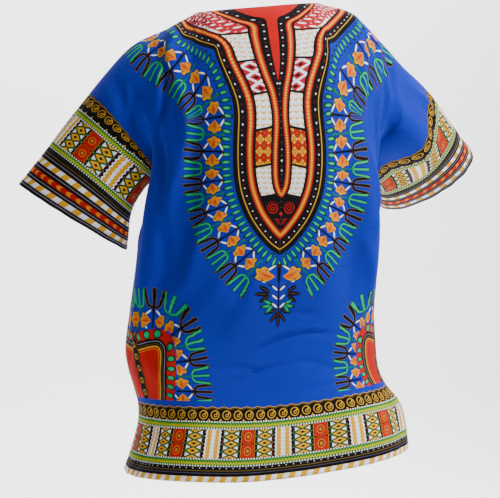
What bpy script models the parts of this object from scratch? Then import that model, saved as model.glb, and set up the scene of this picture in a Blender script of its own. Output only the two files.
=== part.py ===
"""Dashiki shirt in its worn pose: a back and a front panel, each cut in one with its half sleeves.

The panels are cloth walls that meet at the shoulder, underarm and side seams. Neck, cuffs and hem
are open. Metres, +Z up. The shirt's front faces -Y, its left sleeve is at +X, and the origin lies
at the base of the neck, midway between the two shoulder seams.

Two coordinates run over each panel. Across, 0 is the centre line, 1 the side of the body and 2 the
cuff, with a plus sign on the left half and a minus sign on the right half. Down, 0 is the shoulder
line, 1 the level of the underarm and 2 the hem, which only the body has.
"""

import math

import bpy
import numpy as np

# Sizes of the flat cut
LENGTH = 0.755         # shoulder neck point to hem
HALF_SPAN = 0.52       # centre line to cuff edge
BODY_HALF = 0.285      # centre line to side seam, at the underarm
HEM_HALF = 0.312       # centre line to side seam, at the hem
NECK_HALF = 0.100      # half the neck opening along the shoulder line
UNDERARM = 0.275       # shoulder line down to the underarm
CUFF_DEPTH = 0.236     # shoulder line down to the underarm seam, at the cuff
SLIT_LENGTH = 0.125    # front neck slit below the neckline
SLIT_HALF = 0.014      # half the slit's width at the neckline

# Cloth
CLOTH = 0.0015         # thickness of the wall
SEAM_GAP = 0.0003      # between two panels at a seam
CREASE_LEAN = 0.45     # in a crease, where a normal leans this far away from a face, it is turned

# The worn body: level of the underarm and of the hem below the origin
UNDERARM_DROP = 0.265
HEM_DROP = 0.737

# Sections of the body, a row for each level below the origin. left and right are the half widths
# from the axis, back and front the depths, centre is where the centre line lies, boxy the corners.
SECTION_COLUMNS = ("drop", "left", "right", "back", "front", "centre", "boxy")
SECTIONS = (
    (0.200, 0.188, 0.182, 0.138, 0.100, -0.006, 2.50),
    (0.265, 0.191, 0.185, 0.142, 0.110, -0.004, 2.55),
    (0.325, 0.197, 0.187, 0.142, 0.118, -0.003, 2.60),
    (0.380, 0.200, 0.186, 0.137, 0.122, -0.002, 2.60),
    (0.440, 0.206, 0.182, 0.129, 0.124, -0.002, 2.50),
    (0.500, 0.213, 0.179, 0.122, 0.127, -0.002, 2.45),
    (0.550, 0.219, 0.182, 0.120, 0.132, 0.000, 2.40),
    (0.590, 0.211, 0.186, 0.124, 0.137, 0.000, 2.35),
    (0.625, 0.199, 0.197, 0.133, 0.141, 0.001, 2.30),
    (0.655, 0.197, 0.219, 0.141, 0.144, 0.003, 2.30),
    (0.700, 0.208, 0.232, 0.151, 0.148, 0.006, 2.30),
    (0.740, 0.221, 0.236, 0.158, 0.150, 0.008, 2.30),
)

# The shoulder line from the neck to the cuff, for each side: share is how far along it lies,
# then how far out from the axis, how far towards the back and how far below the origin.
LINE_COLUMNS = ("share", "out", "back", "drop")
SHOULDER_LINE = {
    "left": (
        (0.00, 0.108, 0.006, 0.016),
        (0.16, 0.150, 0.004, 0.040),
        (0.32, 0.207, -0.005, 0.069),
        (0.45, 0.246, -0.022, 0.109),
        (0.60, 0.285, -0.048, 0.157),
        (0.80, 0.333, -0.081, 0.219),
        (1.00, 0.384, -0.107, 0.283),
    ),
    "right": (
        (0.00, 0.092, 0.006, -0.004),
        (0.14, 0.146, 0.002, 0.010),
        (0.28, 0.193, -0.010, 0.047),
        (0.42, 0.239, -0.040, 0.084),
        (0.60, 0.294, -0.080, 0.122),
        (0.80, 0.352, -0.120, 0.169),
        (1.00, 0.407, -0.160, 0.217),
    ),
}

# The underarm seam's end at the cuff: out, back and drop
CUFF_UNDER = {"left": (0.207, -0.120, 0.391), "right": (0.254, -0.236, 0.302)}

# The underarm is drawn in and forward, with the cloth round it gathered in a crease: how far in
# and forward, and how strongly the cloth is gathered towards it along the sleeve
UNDERARM_TUCK = {"left": (0.038, 0.036), "right": (0.034, 0.026)}
TUCK_START = {"back": 0.82, "front": 0.40}
TUCK_END = {"back": 1.24, "front": 1.24}
UNDERARM_GATHER = 1.4
UNDERARM_BOW = 0.036   # how far the sleeve's underarm seam bows away from the body
FRONT_FILL = 0.016     # the front's crease above the underarm lies this much further forward
FRONT_INWARD = 0.018   # and the front beside it this much further in

# Rounds of easing that round off the creases of each panel near the underarm
EASE_ROUNDS = {"back": 3, "front": 24}

# The half depth of the sleeve at the body and at the cuff, and which way it bulges there: 0 is
# straight to the back and front, 1 square to the sleeve's own direction
SLEEVE_DEPTH = {"left": (0.052, 0.052), "right": (0.054, 0.063)}
SLEEVE_TURN = {"left": (0.0, 0.40), "right": (0.15, 1.0)}

# The neckline: how far the centre of each panel lies behind the shoulders, and how far below them
NECKLINE = {"back": (0.062, 0.005), "front": (-0.082, 0.072)}

# Folds of each panel on the flat cut, in metres: across from the centre line and up from the hem
# at both ends, half the width, and the height of the ridge, or less than 0 for a trough.
FOLD_COLUMNS = ("across0", "up0", "across1", "up1", "half_width", "height")
FOLDS = {
    "back": (
        (0.130, 0.56, 0.178, 0.30, 0.034, 0.011),
        (0.185, 0.27, 0.225, 0.16, 0.030, 0.008),
        (0.190, 0.46, 0.245, 0.26, 0.032, -0.012),
        (0.020, 0.33, 0.085, 0.24, 0.030, -0.006),
        (-0.105, 0.50, -0.140, 0.28, 0.030, 0.008),
        (-0.155, 0.48, -0.200, 0.28, 0.030, -0.010),
        (-0.250, 0.60, -0.420, 0.57, 0.030, -0.022),
        (-0.280, 0.53, -0.440, 0.51, 0.028, 0.008),
        (0.105, 0.735, 0.150, 0.60, 0.022, 0.007),
        (0.135, 0.75, 0.190, 0.60, 0.020, -0.007),
        (-0.140, 0.73, -0.190, 0.58, 0.024, -0.008),
        (0.260, 0.24, 0.170, 0.13, 0.026, -0.007),
        (0.000, 0.03, 0.010, 0.13, 0.050, 0.005),
        (0.150, 0.00, 0.140, 0.11, 0.040, -0.006),
        (-0.140, 0.00, -0.130, 0.12, 0.045, -0.006),
    ),
    "front": (
        (0.060, 0.56, 0.090, 0.22, 0.034, 0.008),
        (0.125, 0.44, 0.165, 0.20, 0.034, -0.008),
        (-0.060, 0.54, -0.080, 0.20, 0.034, 0.007),
        (-0.130, 0.44, -0.160, 0.20, 0.034, -0.008),
        (0.100, 0.00, 0.095, 0.14, 0.045, 0.008),
        (-0.110, 0.00, -0.100, 0.15, 0.045, 0.008),
        (0.000, 0.00, 0.005, 0.20, 0.045, -0.006),
    ),
}

# How finely each panel is divided: columns on half the body and on a sleeve, rows above and below
# the underarm. The slit ends on a row, a whole number of rows below the neckline.
BODY_COLUMNS = 15
SLEEVE_COLUMNS = 10
UPPER_ROWS = 14
LOWER_ROWS = 18

COLOURS = {"back": (0.045, 0.13, 0.62), "front": (0.05, 0.14, 0.60)}
FACING = {"back": 1.0, "front": -1.0}


def column(table, names, name):
    """One named column of a table."""
    return np.array([row[names.index(name)] for row in table], float)


def smooth(at, stops, values):
    """A smooth curve through values at rising stops, read at each place in at."""
    slopes = np.gradient(values, stops)
    i = np.clip(np.searchsorted(stops, at, side="right") - 1, 0, len(stops) - 2)
    span = stops[i + 1] - stops[i]
    t = np.clip((at - stops[i]) / span, 0.0, 1.0)
    start = values[i] * (1 + 2 * t) * (1 - t) ** 2 + slopes[i] * span * t * (1 - t) ** 2
    end = values[i + 1] * t**2 * (3 - 2 * t) + slopes[i + 1] * span * t**2 * (t - 1)
    return start + end


def step(at, low, high):
    """0 below low, 1 above high, and a soft rise between them."""
    t = np.clip((at - low) / (high - low), 0.0, 1.0)
    return t * t * (3 - 2 * t)


def section(drop, across, panel):
    """Points of the body's section at one level, for signed shares from centre line to side."""
    stops = column(SECTIONS, SECTION_COLUMNS, "drop")
    size = {
        name: float(smooth(np.array([drop]), stops, column(SECTIONS, SECTION_COLUMNS, name))[0])
        for name in SECTION_COLUMNS[1:]
    }
    points = np.zeros((len(across), 3))
    turn = np.linspace(0.0, math.pi / 2, 241)
    power = 2.0 / size["boxy"]
    for side, sign in (("left", 1.0), ("right", -1.0)):
        out = size["centre"] + (sign * size[side] - size["centre"]) * np.sin(turn) ** power
        deep = FACING[panel] * size[panel] * np.cos(turn) ** power
        steps = np.hypot(np.diff(out), np.diff(deep))
        along = np.concatenate([[0.0], np.cumsum(steps)])
        along /= along[-1]
        here = np.sign(across + 1e-12) == sign
        points[here, 0] = np.interp(np.abs(across[here]), along, out)
        points[here, 1] = np.interp(np.abs(across[here]), along, deep)
    points[:, 2] = -drop
    return points


def hem_lift(across):
    """The hem hangs a little higher towards the right."""
    return 0.031 * step(-across, -0.26, 1.0) - 0.002 * step(across, 0.3, 1.0)


def flat_across(across, down):
    """Flat distance from the centre line, signed."""
    half = BODY_HALF + (HEM_HALF - BODY_HALF) * np.clip(down - 1.0, 0.0, 1.0)
    body = np.minimum(np.abs(across), 1.0) * half
    sleeve = np.maximum(np.abs(across) - 1.0, 0.0) * (HALF_SPAN - BODY_HALF)
    return np.sign(across) * (body + sleeve)


def flat_up(across, down, panel):
    """Flat height above the hem."""
    out = np.abs(flat_across(across, 0.0 * down))
    slope = 0.16
    top = LENGTH - slope * np.maximum(out - NECK_HALF, 0.0)
    neck = np.clip(out / NECK_HALF, 0.0, 1.0)
    top = top - abs(NECKLINE[panel][1]) * np.sqrt(1.0 - neck**2)
    at_cuff = LENGTH - slope * (HALF_SPAN - NECK_HALF) - CUFF_DEPTH
    under = (LENGTH - UNDERARM) + (at_cuff - LENGTH + UNDERARM) * np.clip(np.abs(across) - 1, 0, 1)
    upper = top + (under - top) * np.clip(down, 0.0, 1.0)
    return np.where(down > 1.0, under * (2.0 - down), upper)


def top_points(across, panel):
    """The panel's upper edge: the shoulder line, and the neckline between its two ends."""
    points = np.zeros((len(across), 3))
    out = np.abs(flat_across(across, np.zeros(len(across))))
    for side, sign in (("left", 1.0), ("right", -1.0)):
        here = np.sign(across + 1e-12) == sign
        line = SHOULDER_LINE[side]
        share = np.clip((out[here] - NECK_HALF) / (HALF_SPAN - NECK_HALF), 0.0, 1.0)
        stops = column(line, LINE_COLUMNS, "share")
        x, y, z = (smooth(share, stops, column(line, LINE_COLUMNS, n)) for n in LINE_COLUMNS[1:])
        neck = np.clip(out[here] / NECK_HALF, 0.0, 1.0)
        inside = neck < 1.0
        depth, drop = NECKLINE[panel]
        arc = np.cos(neck * math.pi / 2)
        reach = np.sin(neck * math.pi / 2)
        middle = (SHOULDER_LINE["left"][0][3] + SHOULDER_LINE["right"][0][3]) / 2
        level = middle + (line[0][3] - middle) * reach
        x = np.where(inside, line[0][1] * reach, x)
        y = np.where(inside, line[0][2] + (depth - line[0][2]) * arc, y)
        z = np.where(inside, level + drop * arc, z)
        points[here] = np.stack([sign * x, y, -z], axis=1)
    return points


def under_points(across, panel):
    """The panel's lower edge above the underarm level: the body's section, then the seam."""
    body = section(UNDERARM_DROP, np.clip(across, -1.0, 1.0), panel)
    for side, sign in (("left", 1.0), ("right", -1.0)):
        here = (np.sign(across) == sign) & (np.abs(across) > 1.0)
        share = (np.abs(across[here]) - 1.0)[:, None] ** UNDERARM_GATHER
        out, back, drop = CUFF_UNDER[side]
        pit = section(UNDERARM_DROP, np.array([sign]), panel)[0]
        end = np.array([sign * out, back, -drop])
        body[here] = pit + (end - pit) * share
        bow = np.sqrt(share[:, 0]) * (1.0 - share[:, 0]) ** 2
        body[here, 0] += sign * UNDERARM_BOW * bow
    return body


def upper_block(across, down, panel):
    """Points from the shoulder line to the underarm level, as [row][column]."""
    facing = FACING[panel]
    top = top_points(across, panel)
    end = under_points(across, panel)
    out = np.abs(across)
    sleeve = step(out, 0.62, 1.12)[:, None]
    hang = end - top

    lower = section(UNDERARM_DROP + 0.02, np.clip(across, -1, 1), panel)
    level = section(UNDERARM_DROP, np.clip(across, -1, 1), panel)
    fall = (lower - level) / 0.02
    deep = np.abs(hang[:, 1:2])
    tall = np.abs(hang[:, 2:3])
    leave = np.zeros_like(top)
    leave[:, 1:2] = facing * (1.35 * deep + 0.02)
    inside_neck = step(1.0 - out * BODY_HALF / NECK_HALF, 0.0, 0.8)[:, None]
    leave = leave * (1.0 - 0.45 * inside_neck)
    leave[:, 2:3] -= 0.22 * inside_neck * tall
    arrive = fall * 1.25 * tall

    bulge = np.zeros_like(top)
    for side, sign in (("left", 1.0), ("right", -1.0)):
        here = np.sign(across + 1e-12) == sign
        chord = hang[here] / np.linalg.norm(hang[here], axis=1, keepdims=True)
        ahead = np.gradient(top, axis=0)[here] * sign
        ahead = ahead - (ahead * chord).sum(1, keepdims=True) * chord
        ahead /= np.linalg.norm(ahead, axis=1, keepdims=True)
        share = np.clip(out[here] - 1.0, 0.0, 1.0)[:, None]
        near, far = SLEEVE_TURN[side]
        normal = np.cross(ahead, chord) * sign
        normal[:, ::2] *= near + (far - near) * share
        normal /= np.linalg.norm(normal, axis=1, keepdims=True)
        near, far = SLEEVE_DEPTH[side]
        bulge[here] = facing * normal * (near + (far - near) * share) * 4.0
    leave = leave * (1.0 - sleeve) + bulge * sleeve
    arrive = arrive * (1.0 - sleeve) - bulge * sleeve

    t = np.clip(down, 0.0, 1.0)[:, None, None]
    return (
        top * (1 + 2 * t) * (1 - t) ** 2
        + leave * t * (1 - t) ** 2
        + end * t**2 * (3 - 2 * t)
        + arrive * t**2 * (t - 1)
    )


def tuck(across, down, panel):
    """How far each point is drawn towards the underarm crease."""
    out = np.abs(across)
    start = TUCK_START[panel]
    beside = np.where(out < 1.0, step(out, start, 1.0), 1.0 - step(out, 1.0, 1.75))
    level = np.where(down < 1.0, step(down, 0.35, 1.0), 1.0 - step(down, 1.0, TUCK_END[panel]))
    weight = beside * level
    move = np.zeros(across.shape + (3,))
    for side, sign in (("left", 1.0), ("right", -1.0)):
        inward, forward = UNDERARM_TUCK[side]
        here = np.sign(across + 1e-12) == sign
        move[here, 0] = -sign * inward * weight[here]
        move[here, 1] = -forward * weight[here]
    if panel == "front":
        above = np.sin(math.pi * np.clip(down, 0.0, 1.0)) ** 0.7
        move[..., 1] -= FRONT_FILL * above * np.exp(-(((out - 1.0) / 0.22) ** 2))
        inward = FRONT_INWARD * np.sin(math.pi * beside) * level * (out < 1.0)
        move[..., 0] -= np.sign(across) * inward
    return move


def lower_block(across, down, panel):
    """Points of the body from the underarm level to the hem, as [row][column]."""
    rows = []
    for place in down:
        share = place - 1.0
        drop = UNDERARM_DROP + (HEM_DROP - UNDERARM_DROP) * share
        points = section(drop, across, panel)
        points[:, 2] += hem_lift(across) * step(share, 0.35, 1.0)
        rows.append(points)
    return np.array(rows)


def fold_height(across, up, panel):
    """How far the cloth stands out for the folds, at flat places on the cut."""
    total = np.zeros(np.broadcast(across, up).shape)
    for row in FOLDS[panel]:
        fold = dict(zip(FOLD_COLUMNS, row))
        along = np.array([fold["across1"] - fold["across0"], fold["up1"] - fold["up0"]])
        long = math.hypot(*along)
        along /= long
        from_start = (across - fold["across0"]) * along[0] + (up - fold["up0"]) * along[1]
        beside = (up - fold["up0"]) * along[0] - (across - fold["across0"]) * along[1]
        start = step(from_start, -0.35 * long, 0.3 * long)
        end = step(long - from_start, -0.35 * long, 0.3 * long)
        total += fold["height"] * start * end * np.exp(-((beside / fold["half_width"]) ** 2))
    return total


def slit_half(up):
    """Half the width of the front slit at a flat height, 0 below its end."""
    mouth = LENGTH - NECKLINE["front"][1]
    return SLIT_HALF * np.clip((up - (mouth - SLIT_LENGTH)) / SLIT_LENGTH, 0.0, 1.0) ** 0.8


def ease(grid, across, down, rounds):
    """Rounds off the creases near the underarm: each point moves towards its neighbours' middle."""
    out = np.abs(across)
    weight = np.exp(-(((out - 1.0) / 0.3) ** 2) - ((down - 0.9) / 0.35) ** 2)
    weight[(out >= 1.0 - 1e-9) & (down >= 1.0 - 1e-9)] = 0.0
    weight[0] = weight[-1] = 0.0
    weight[:, 0] = weight[:, -1] = 0.0
    weight = weight[1:-1, 1:-1, None]
    for _ in range(rounds):
        middle = (grid[:-2, 1:-1] + grid[2:, 1:-1] + grid[1:-1, :-2] + grid[1:-1, 2:]) / 4
        grid[1:-1, 1:-1] += weight * (middle - grid[1:-1, 1:-1]) * 0.8


class Panel:
    """The points and faces of one panel's outer surface."""

    def __init__(self, name):
        self.name = name
        body = 1.0 - np.linspace(1.0, 0.0, BODY_COLUMNS + 1) ** 1.3
        sleeve = np.linspace(1.0, 2.0, SLEEVE_COLUMNS + 1)[1:]
        half = np.concatenate([body, sleeve])
        self.across = np.concatenate([-half[::-1], half])
        upper = np.linspace(0.0, 1.0, UPPER_ROWS + 1)
        lower = np.linspace(1.0, 2.0, LOWER_ROWS + 1)[1:]
        self.down = np.concatenate([upper, lower])
        self.middle = len(half)
        self.lay_out()
        self.number_points()
        self.make_faces()

    def lay_out(self):
        """Places every point of the grid, and its flat place on the cut."""
        top = upper_block(self.across, self.down[: UPPER_ROWS + 1], self.name)
        body = lower_block(np.clip(self.across, -1, 1), self.down[UPPER_ROWS + 1 :], self.name)
        down, across = np.meshgrid(self.down, self.across, indexing="ij")
        self.grid = np.concatenate([top, body]) + tuck(across, down, self.name)
        ease(self.grid, across, down, EASE_ROUNDS[self.name])
        self.flat_across = flat_across(across, down)
        self.flat_up = flat_up(across, down, self.name)
        self.open_slit = np.zeros(len(self.down), bool)
        if self.name == "front":
            half = slit_half(self.flat_up[:, self.middle])
            self.open_slit = half > 0.0
            fade = np.clip(1.0 - np.abs(self.flat_across) / 0.06, 0.0, 1.0)
            side = np.where(np.arange(len(self.across)) < self.middle, -1.0, 1.0)
            self.grid[:, :, 0] += side * half[:, None] * fade

    def number_points(self):
        """Gives each grid point its number; the two middle columns are one where nothing is cut."""
        rows, columns = self.grid.shape[:2]
        number = -np.ones((rows, columns), int)
        count = 0
        for r in range(rows):
            for c in range(columns):
                if self.down[r] > 1.0 and abs(self.across[c]) > 1.0:
                    continue
                if c == self.middle and not self.open_slit[r]:
                    number[r, c] = number[r, c - 1]
                    continue
                number[r, c] = count
                count += 1
        self.number = number
        self.points = np.zeros((count, 3))
        self.points[number[number >= 0]] = self.grid[number >= 0]
        self.flat = np.zeros((count, 2))
        self.flat[number[number >= 0], 0] = self.flat_across[number >= 0]
        self.flat[number[number >= 0], 1] = self.flat_up[number >= 0]

    def make_faces(self):
        """Quads of the outer surface, each turned so that it faces out."""
        faces = []
        rows, columns = self.number.shape
        for r in range(rows - 1):
            for c in range(columns - 1):
                if c == self.middle - 1:
                    continue
                quad = [
                    self.number[r, c],
                    self.number[r + 1, c],
                    self.number[r + 1, c + 1],
                    self.number[r, c + 1],
                ]
                if min(quad) >= 0:
                    faces.append(quad if self.name == "back" else quad[::-1])
        self.faces = np.array(faces)

    def seam_points(self):
        """Numbers of the points on a seam, with the number of the point one step inside."""
        pairs = {}
        last = len(self.down) - 1
        for c, across in enumerate(self.across):
            if abs(flat_across(across, np.zeros(1))[0]) >= NECK_HALF - 1e-9:
                pairs[self.number[0, c]] = (self.number[1, c], (0, c))
            if abs(across) >= 1.0 - 1e-9:
                pairs[self.number[UPPER_ROWS, c]] = (self.number[UPPER_ROWS - 1, c], (UPPER_ROWS, c))
        for r in range(UPPER_ROWS, last + 1):
            for c, inward in ((SLEEVE_COLUMNS, 1), (len(self.across) - 1 - SLEEVE_COLUMNS, -1)):
                pairs[self.number[r, c]] = (self.number[r, c + inward], (r, c))
        return pairs


def normals(points, faces):
    """Sum of the normals of the faces round each point, weighted by area."""
    corners = points[faces]
    across = np.cross(corners[:, 2] - corners[:, 0], corners[:, 3] - corners[:, 1])
    total = np.zeros_like(points)
    for k in range(4):
        np.add.at(total, faces[:, k], across)
    return total


def facing_normals(panel):
    """Unit normals of a panel's faces."""
    corners = panel.points[panel.faces]
    found = np.cross(corners[:, 2] - corners[:, 0], corners[:, 3] - corners[:, 1])
    return found / np.linalg.norm(found, axis=1, keepdims=True)


def lean_evenly(start, around):
    """A direction near start that leans away from none of the normals around it."""
    turned = start / np.linalg.norm(start)
    for _ in range(60):
        least = around[np.argmin(around @ turned)]
        turned = turned + 0.08 * least
        turned /= np.linalg.norm(turned)
    return turned


def join_normals(panels):
    """Unit normals of both panels, the same on both sides of a seam."""
    found = {p.name: normals(p.points, p.faces) for p in panels}
    back, front = panels
    shared = {n: front.number[place] for n, (_, place) in back.seam_points().items()}
    for number, other in shared.items():
        both = found["back"][number] + found["front"][other]
        found["back"][number] = both
        found["front"][other] = both
    unit = {n: v / np.linalg.norm(v, axis=1, keepdims=True) for n, v in found.items()}
    sides = {p.name: facing_normals(p) for p in panels}
    partner = {"back": shared, "front": {b: a for a, b in shared.items()}}
    for panel, beyond in ((back, front), (front, back)):
        lean = (unit[panel.name][panel.faces] * sides[panel.name][:, None]).sum(2)
        for number in sorted(set(panel.faces[lean < CREASE_LEAN].tolist())):
            around = sides[panel.name][(panel.faces == number).any(1)]
            other = partner[panel.name].get(number)
            if other is not None:
                around = np.concatenate([around, sides[beyond.name][(beyond.faces == other).any(1)]])
            unit[panel.name][number] = lean_evenly(unit[panel.name][number], around)
            if other is not None:
                unit[beyond.name][other] = unit[panel.name][number]
    return unit


def raise_folds(panels):
    """Moves the points out or in for the folds, less and less towards a seam."""
    unit = join_normals(panels)
    for panel in panels:
        height = fold_height(panel.flat[:, 0], panel.flat[:, 1], panel.name)
        number = panel.number
        calm = np.ones(len(height))
        rows = np.arange(len(panel.down))[:, None] * np.ones(len(panel.across))[None, :]
        near_top = np.clip(rows / 3.0, 0.0, 1.0)
        near_side = np.ones_like(near_top)
        below = panel.down > 1.0
        edge = np.clip((1.0 - np.abs(panel.across)) / 0.16, 0.0, 1.0)
        near_side[below] = edge
        under = np.clip((UPPER_ROWS - rows) / 3.0, 0.0, 1.0)
        on_sleeve = step(np.abs(panel.across), 0.85, 1.1)[None, :]
        near_side = near_side * (1.0 - on_sleeve * (1.0 - under) * (~below[:, None]))
        known = number >= 0
        calm[number[known]] = (near_top * near_side)[known]
        panel.points += unit[panel.name] * (height * calm)[:, None]


def wall(panel, unit):
    """Points and faces of the closed cloth wall behind a panel's outer surface."""
    outer = panel.points.copy()
    for number, (inside, _) in panel.seam_points().items():
        inward = panel.points[inside] - panel.points[number]
        outer[number] += inward / np.linalg.norm(inward) * (SEAM_GAP / 2 + 0.0001)
    inner = outer - unit * CLOTH
    count = len(outer)
    faces = []
    for a, b, c, d in panel.faces.tolist():
        if np.linalg.norm(outer[a] - outer[c]) < np.linalg.norm(outer[b] - outer[d]):
            faces += [[a, b, c], [a, c, d]]
        else:
            faces += [[a, b, d], [b, c, d]]
    edges = {}
    for face in faces:
        for a, b in zip(face, face[1:] + face[:1]):
            edges[(a, b)] = True
    rims = [[b, a, a + count, b + count] for a, b in edges if (b, a) not in edges]
    lining = [[v + count for v in reversed(face)] for face in faces]
    return np.concatenate([outer, inner]), faces + lining + rims


def cloth_material(name, colour):
    """Plain woven cotton in the panel's ground colour."""
    material = bpy.data.materials.new(name)
    material.use_nodes = True
    shader = material.node_tree.nodes["Principled BSDF"]
    shader.inputs["Base Color"].default_value = (*colour, 1.0)
    shader.inputs["Roughness"].default_value = 0.8
    shader.inputs["Metallic"].default_value = 0.0
    return material


def add_panel(panel, unit):
    """Adds one panel to the scene as a closed wall."""
    points, faces = wall(panel, unit)
    mesh = bpy.data.meshes.new(panel.name + "_panel")
    mesh.from_pydata(points.tolist(), [], faces)
    mesh.update()
    mesh.shade_smooth()
    mesh.materials.append(cloth_material(panel.name + "_cloth", COLOURS[panel.name]))
    shirt = bpy.data.objects.new(panel.name + "_panel", mesh)
    bpy.context.scene.collection.objects.link(shirt)
    return shirt


def main():
    for old in list(bpy.data.objects):
        bpy.data.objects.remove(old)
    panels = [Panel("back"), Panel("front")]
    raise_folds(panels)
    unit = join_normals(panels)
    for panel in panels:
        add_panel(panel, unit[panel.name])


main()
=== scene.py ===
"""Dresses the dashiki shirt: both panels as thin printed cotton with their folds, and the stitches.

The first half lays out the same worn form as the shirt's solids, on a finer grid. The second half
draws the print in shader nodes, from the places of the cut that each point carries with it.
"""

import math

import bpy
import numpy as np
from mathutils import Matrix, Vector


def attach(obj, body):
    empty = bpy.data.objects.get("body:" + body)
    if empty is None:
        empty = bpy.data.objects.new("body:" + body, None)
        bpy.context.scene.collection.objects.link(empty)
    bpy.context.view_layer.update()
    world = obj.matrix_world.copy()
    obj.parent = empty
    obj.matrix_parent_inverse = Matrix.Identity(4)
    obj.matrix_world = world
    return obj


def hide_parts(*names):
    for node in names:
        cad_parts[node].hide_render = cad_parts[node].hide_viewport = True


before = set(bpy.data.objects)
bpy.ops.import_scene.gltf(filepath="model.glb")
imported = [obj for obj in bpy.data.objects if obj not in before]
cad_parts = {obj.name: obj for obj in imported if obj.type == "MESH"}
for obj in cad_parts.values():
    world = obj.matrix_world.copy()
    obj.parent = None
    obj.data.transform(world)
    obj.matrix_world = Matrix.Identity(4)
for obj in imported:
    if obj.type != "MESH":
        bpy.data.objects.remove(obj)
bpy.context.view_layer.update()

bl_info = {
    "name": "Dashiki shirt",
    "version": (1, 0, 0),
    "blender": (4, 5, 0),
    "location": "3D View > Sidebar > Shirt",
    "description": "Printed cotton shirt with its folds, borders and stitches",
    "category": "Object",
}

# Sizes of the flat cut
LENGTH = 0.755         # shoulder neck point to hem
HALF_SPAN = 0.52       # centre line to cuff edge
BODY_HALF = 0.285      # centre line to side seam, at the underarm
HEM_HALF = 0.312       # centre line to side seam, at the hem
NECK_HALF = 0.100      # half the neck opening along the shoulder line
UNDERARM = 0.275       # shoulder line down to the underarm
CUFF_DEPTH = 0.236     # shoulder line down to the underarm seam, at the cuff
SLIT_LENGTH = 0.125    # front neck slit below the neckline
SLIT_HALF = 0.014      # half the slit's width at the neckline

# In a crease, a normal that leans this far away from a face is turned, in small steps
CREASE_LEAN = 0.45
LEAN_ROUNDS = 60
LEAN_STEP = 0.08

# The folds die away over this many rows at the shoulder and underarm seams, and over this share of
# the body's half width at the side seam
CALM_ROWS = 3.0
CALM_SHARE = 0.16

# The worn body: level of the underarm and of the hem below the origin
UNDERARM_DROP = 0.265
HEM_DROP = 0.737

# Sections of the body, a row for each level below the origin. left and right are the half widths
# from the axis, back and front the depths, centre is where the centre line lies, boxy the corners.
SECTION_COLUMNS = ("drop", "left", "right", "back", "front", "centre", "boxy")
SECTIONS = (
    (0.200, 0.188, 0.182, 0.138, 0.100, -0.006, 2.50),
    (0.265, 0.191, 0.185, 0.142, 0.110, -0.004, 2.55),
    (0.325, 0.197, 0.187, 0.142, 0.118, -0.003, 2.60),
    (0.380, 0.200, 0.186, 0.137, 0.122, -0.002, 2.60),
    (0.440, 0.206, 0.182, 0.129, 0.124, -0.002, 2.50),
    (0.500, 0.213, 0.179, 0.122, 0.127, -0.002, 2.45),
    (0.550, 0.219, 0.182, 0.120, 0.132, 0.000, 2.40),
    (0.590, 0.211, 0.186, 0.124, 0.137, 0.000, 2.35),
    (0.625, 0.199, 0.197, 0.133, 0.141, 0.001, 2.30),
    (0.655, 0.197, 0.219, 0.141, 0.144, 0.003, 2.30),
    (0.700, 0.208, 0.232, 0.151, 0.148, 0.006, 2.30),
    (0.740, 0.221, 0.236, 0.158, 0.150, 0.008, 2.30),
)

# The shoulder line from the neck to the cuff, for each side: share is how far along it lies,
# then how far out from the axis, how far towards the back and how far below the origin.
LINE_COLUMNS = ("share", "out", "back", "drop")
SHOULDER_LINE = {
    "left": (
        (0.00, 0.108, 0.006, 0.016),
        (0.16, 0.150, 0.004, 0.040),
        (0.32, 0.207, -0.005, 0.069),
        (0.45, 0.246, -0.022, 0.109),
        (0.60, 0.285, -0.048, 0.157),
        (0.80, 0.333, -0.081, 0.219),
        (1.00, 0.384, -0.107, 0.283),
    ),
    "right": (
        (0.00, 0.092, 0.006, -0.004),
        (0.14, 0.146, 0.002, 0.010),
        (0.28, 0.193, -0.010, 0.047),
        (0.42, 0.239, -0.040, 0.084),
        (0.60, 0.294, -0.080, 0.122),
        (0.80, 0.352, -0.120, 0.169),
        (1.00, 0.407, -0.160, 0.217),
    ),
}

# The underarm seam's end at the cuff: out, back and drop
CUFF_UNDER = {"left": (0.207, -0.120, 0.391), "right": (0.254, -0.236, 0.302)}

# The underarm is drawn in and forward, with the cloth round it gathered in a crease: how far in
# and forward, and how strongly the cloth is gathered towards it along the sleeve
UNDERARM_TUCK = {"left": (0.038, 0.036), "right": (0.034, 0.026)}
TUCK_START = {"back": 0.82, "front": 0.40}
TUCK_END = {"back": 1.24, "front": 1.24}
UNDERARM_GATHER = 1.4
UNDERARM_BOW = 0.036   # how far the sleeve's underarm seam bows away from the body
FRONT_FILL = 0.016     # the front's crease above the underarm lies this much further forward
FRONT_INWARD = 0.018   # and the front beside it this much further in

# The crease is felt out to this place on the sleeve, and from this place above it
TUCK_OUT = 1.75
TUCK_TOP = 0.35
FILL_WIDE = 0.22       # half the width of the fill

# Rounds of easing that round off the creases of each panel near the underarm, how far each goes,
# and where they reach: half the width, the middle level and half the height
EASE_ROUNDS = {"back": 3, "front": 24}
EASE_PULL = 0.8
EASE_WIDE = 0.3
EASE_LEVEL = 0.9
EASE_TALL = 0.35

# The half depth of the sleeve at the body and at the cuff, and which way it bulges there: 0 is
# straight to the back and front, 1 square to the sleeve's own direction
SLEEVE_DEPTH = {"left": (0.052, 0.052), "right": (0.054, 0.063)}
SLEEVE_TURN = {"left": (0.0, 0.40), "right": (0.15, 1.0)}

# The neckline: how far the centre of each panel lies behind the shoulders, and how far below them
NECKLINE = {"back": (0.062, 0.005), "front": (-0.082, 0.072)}

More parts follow.
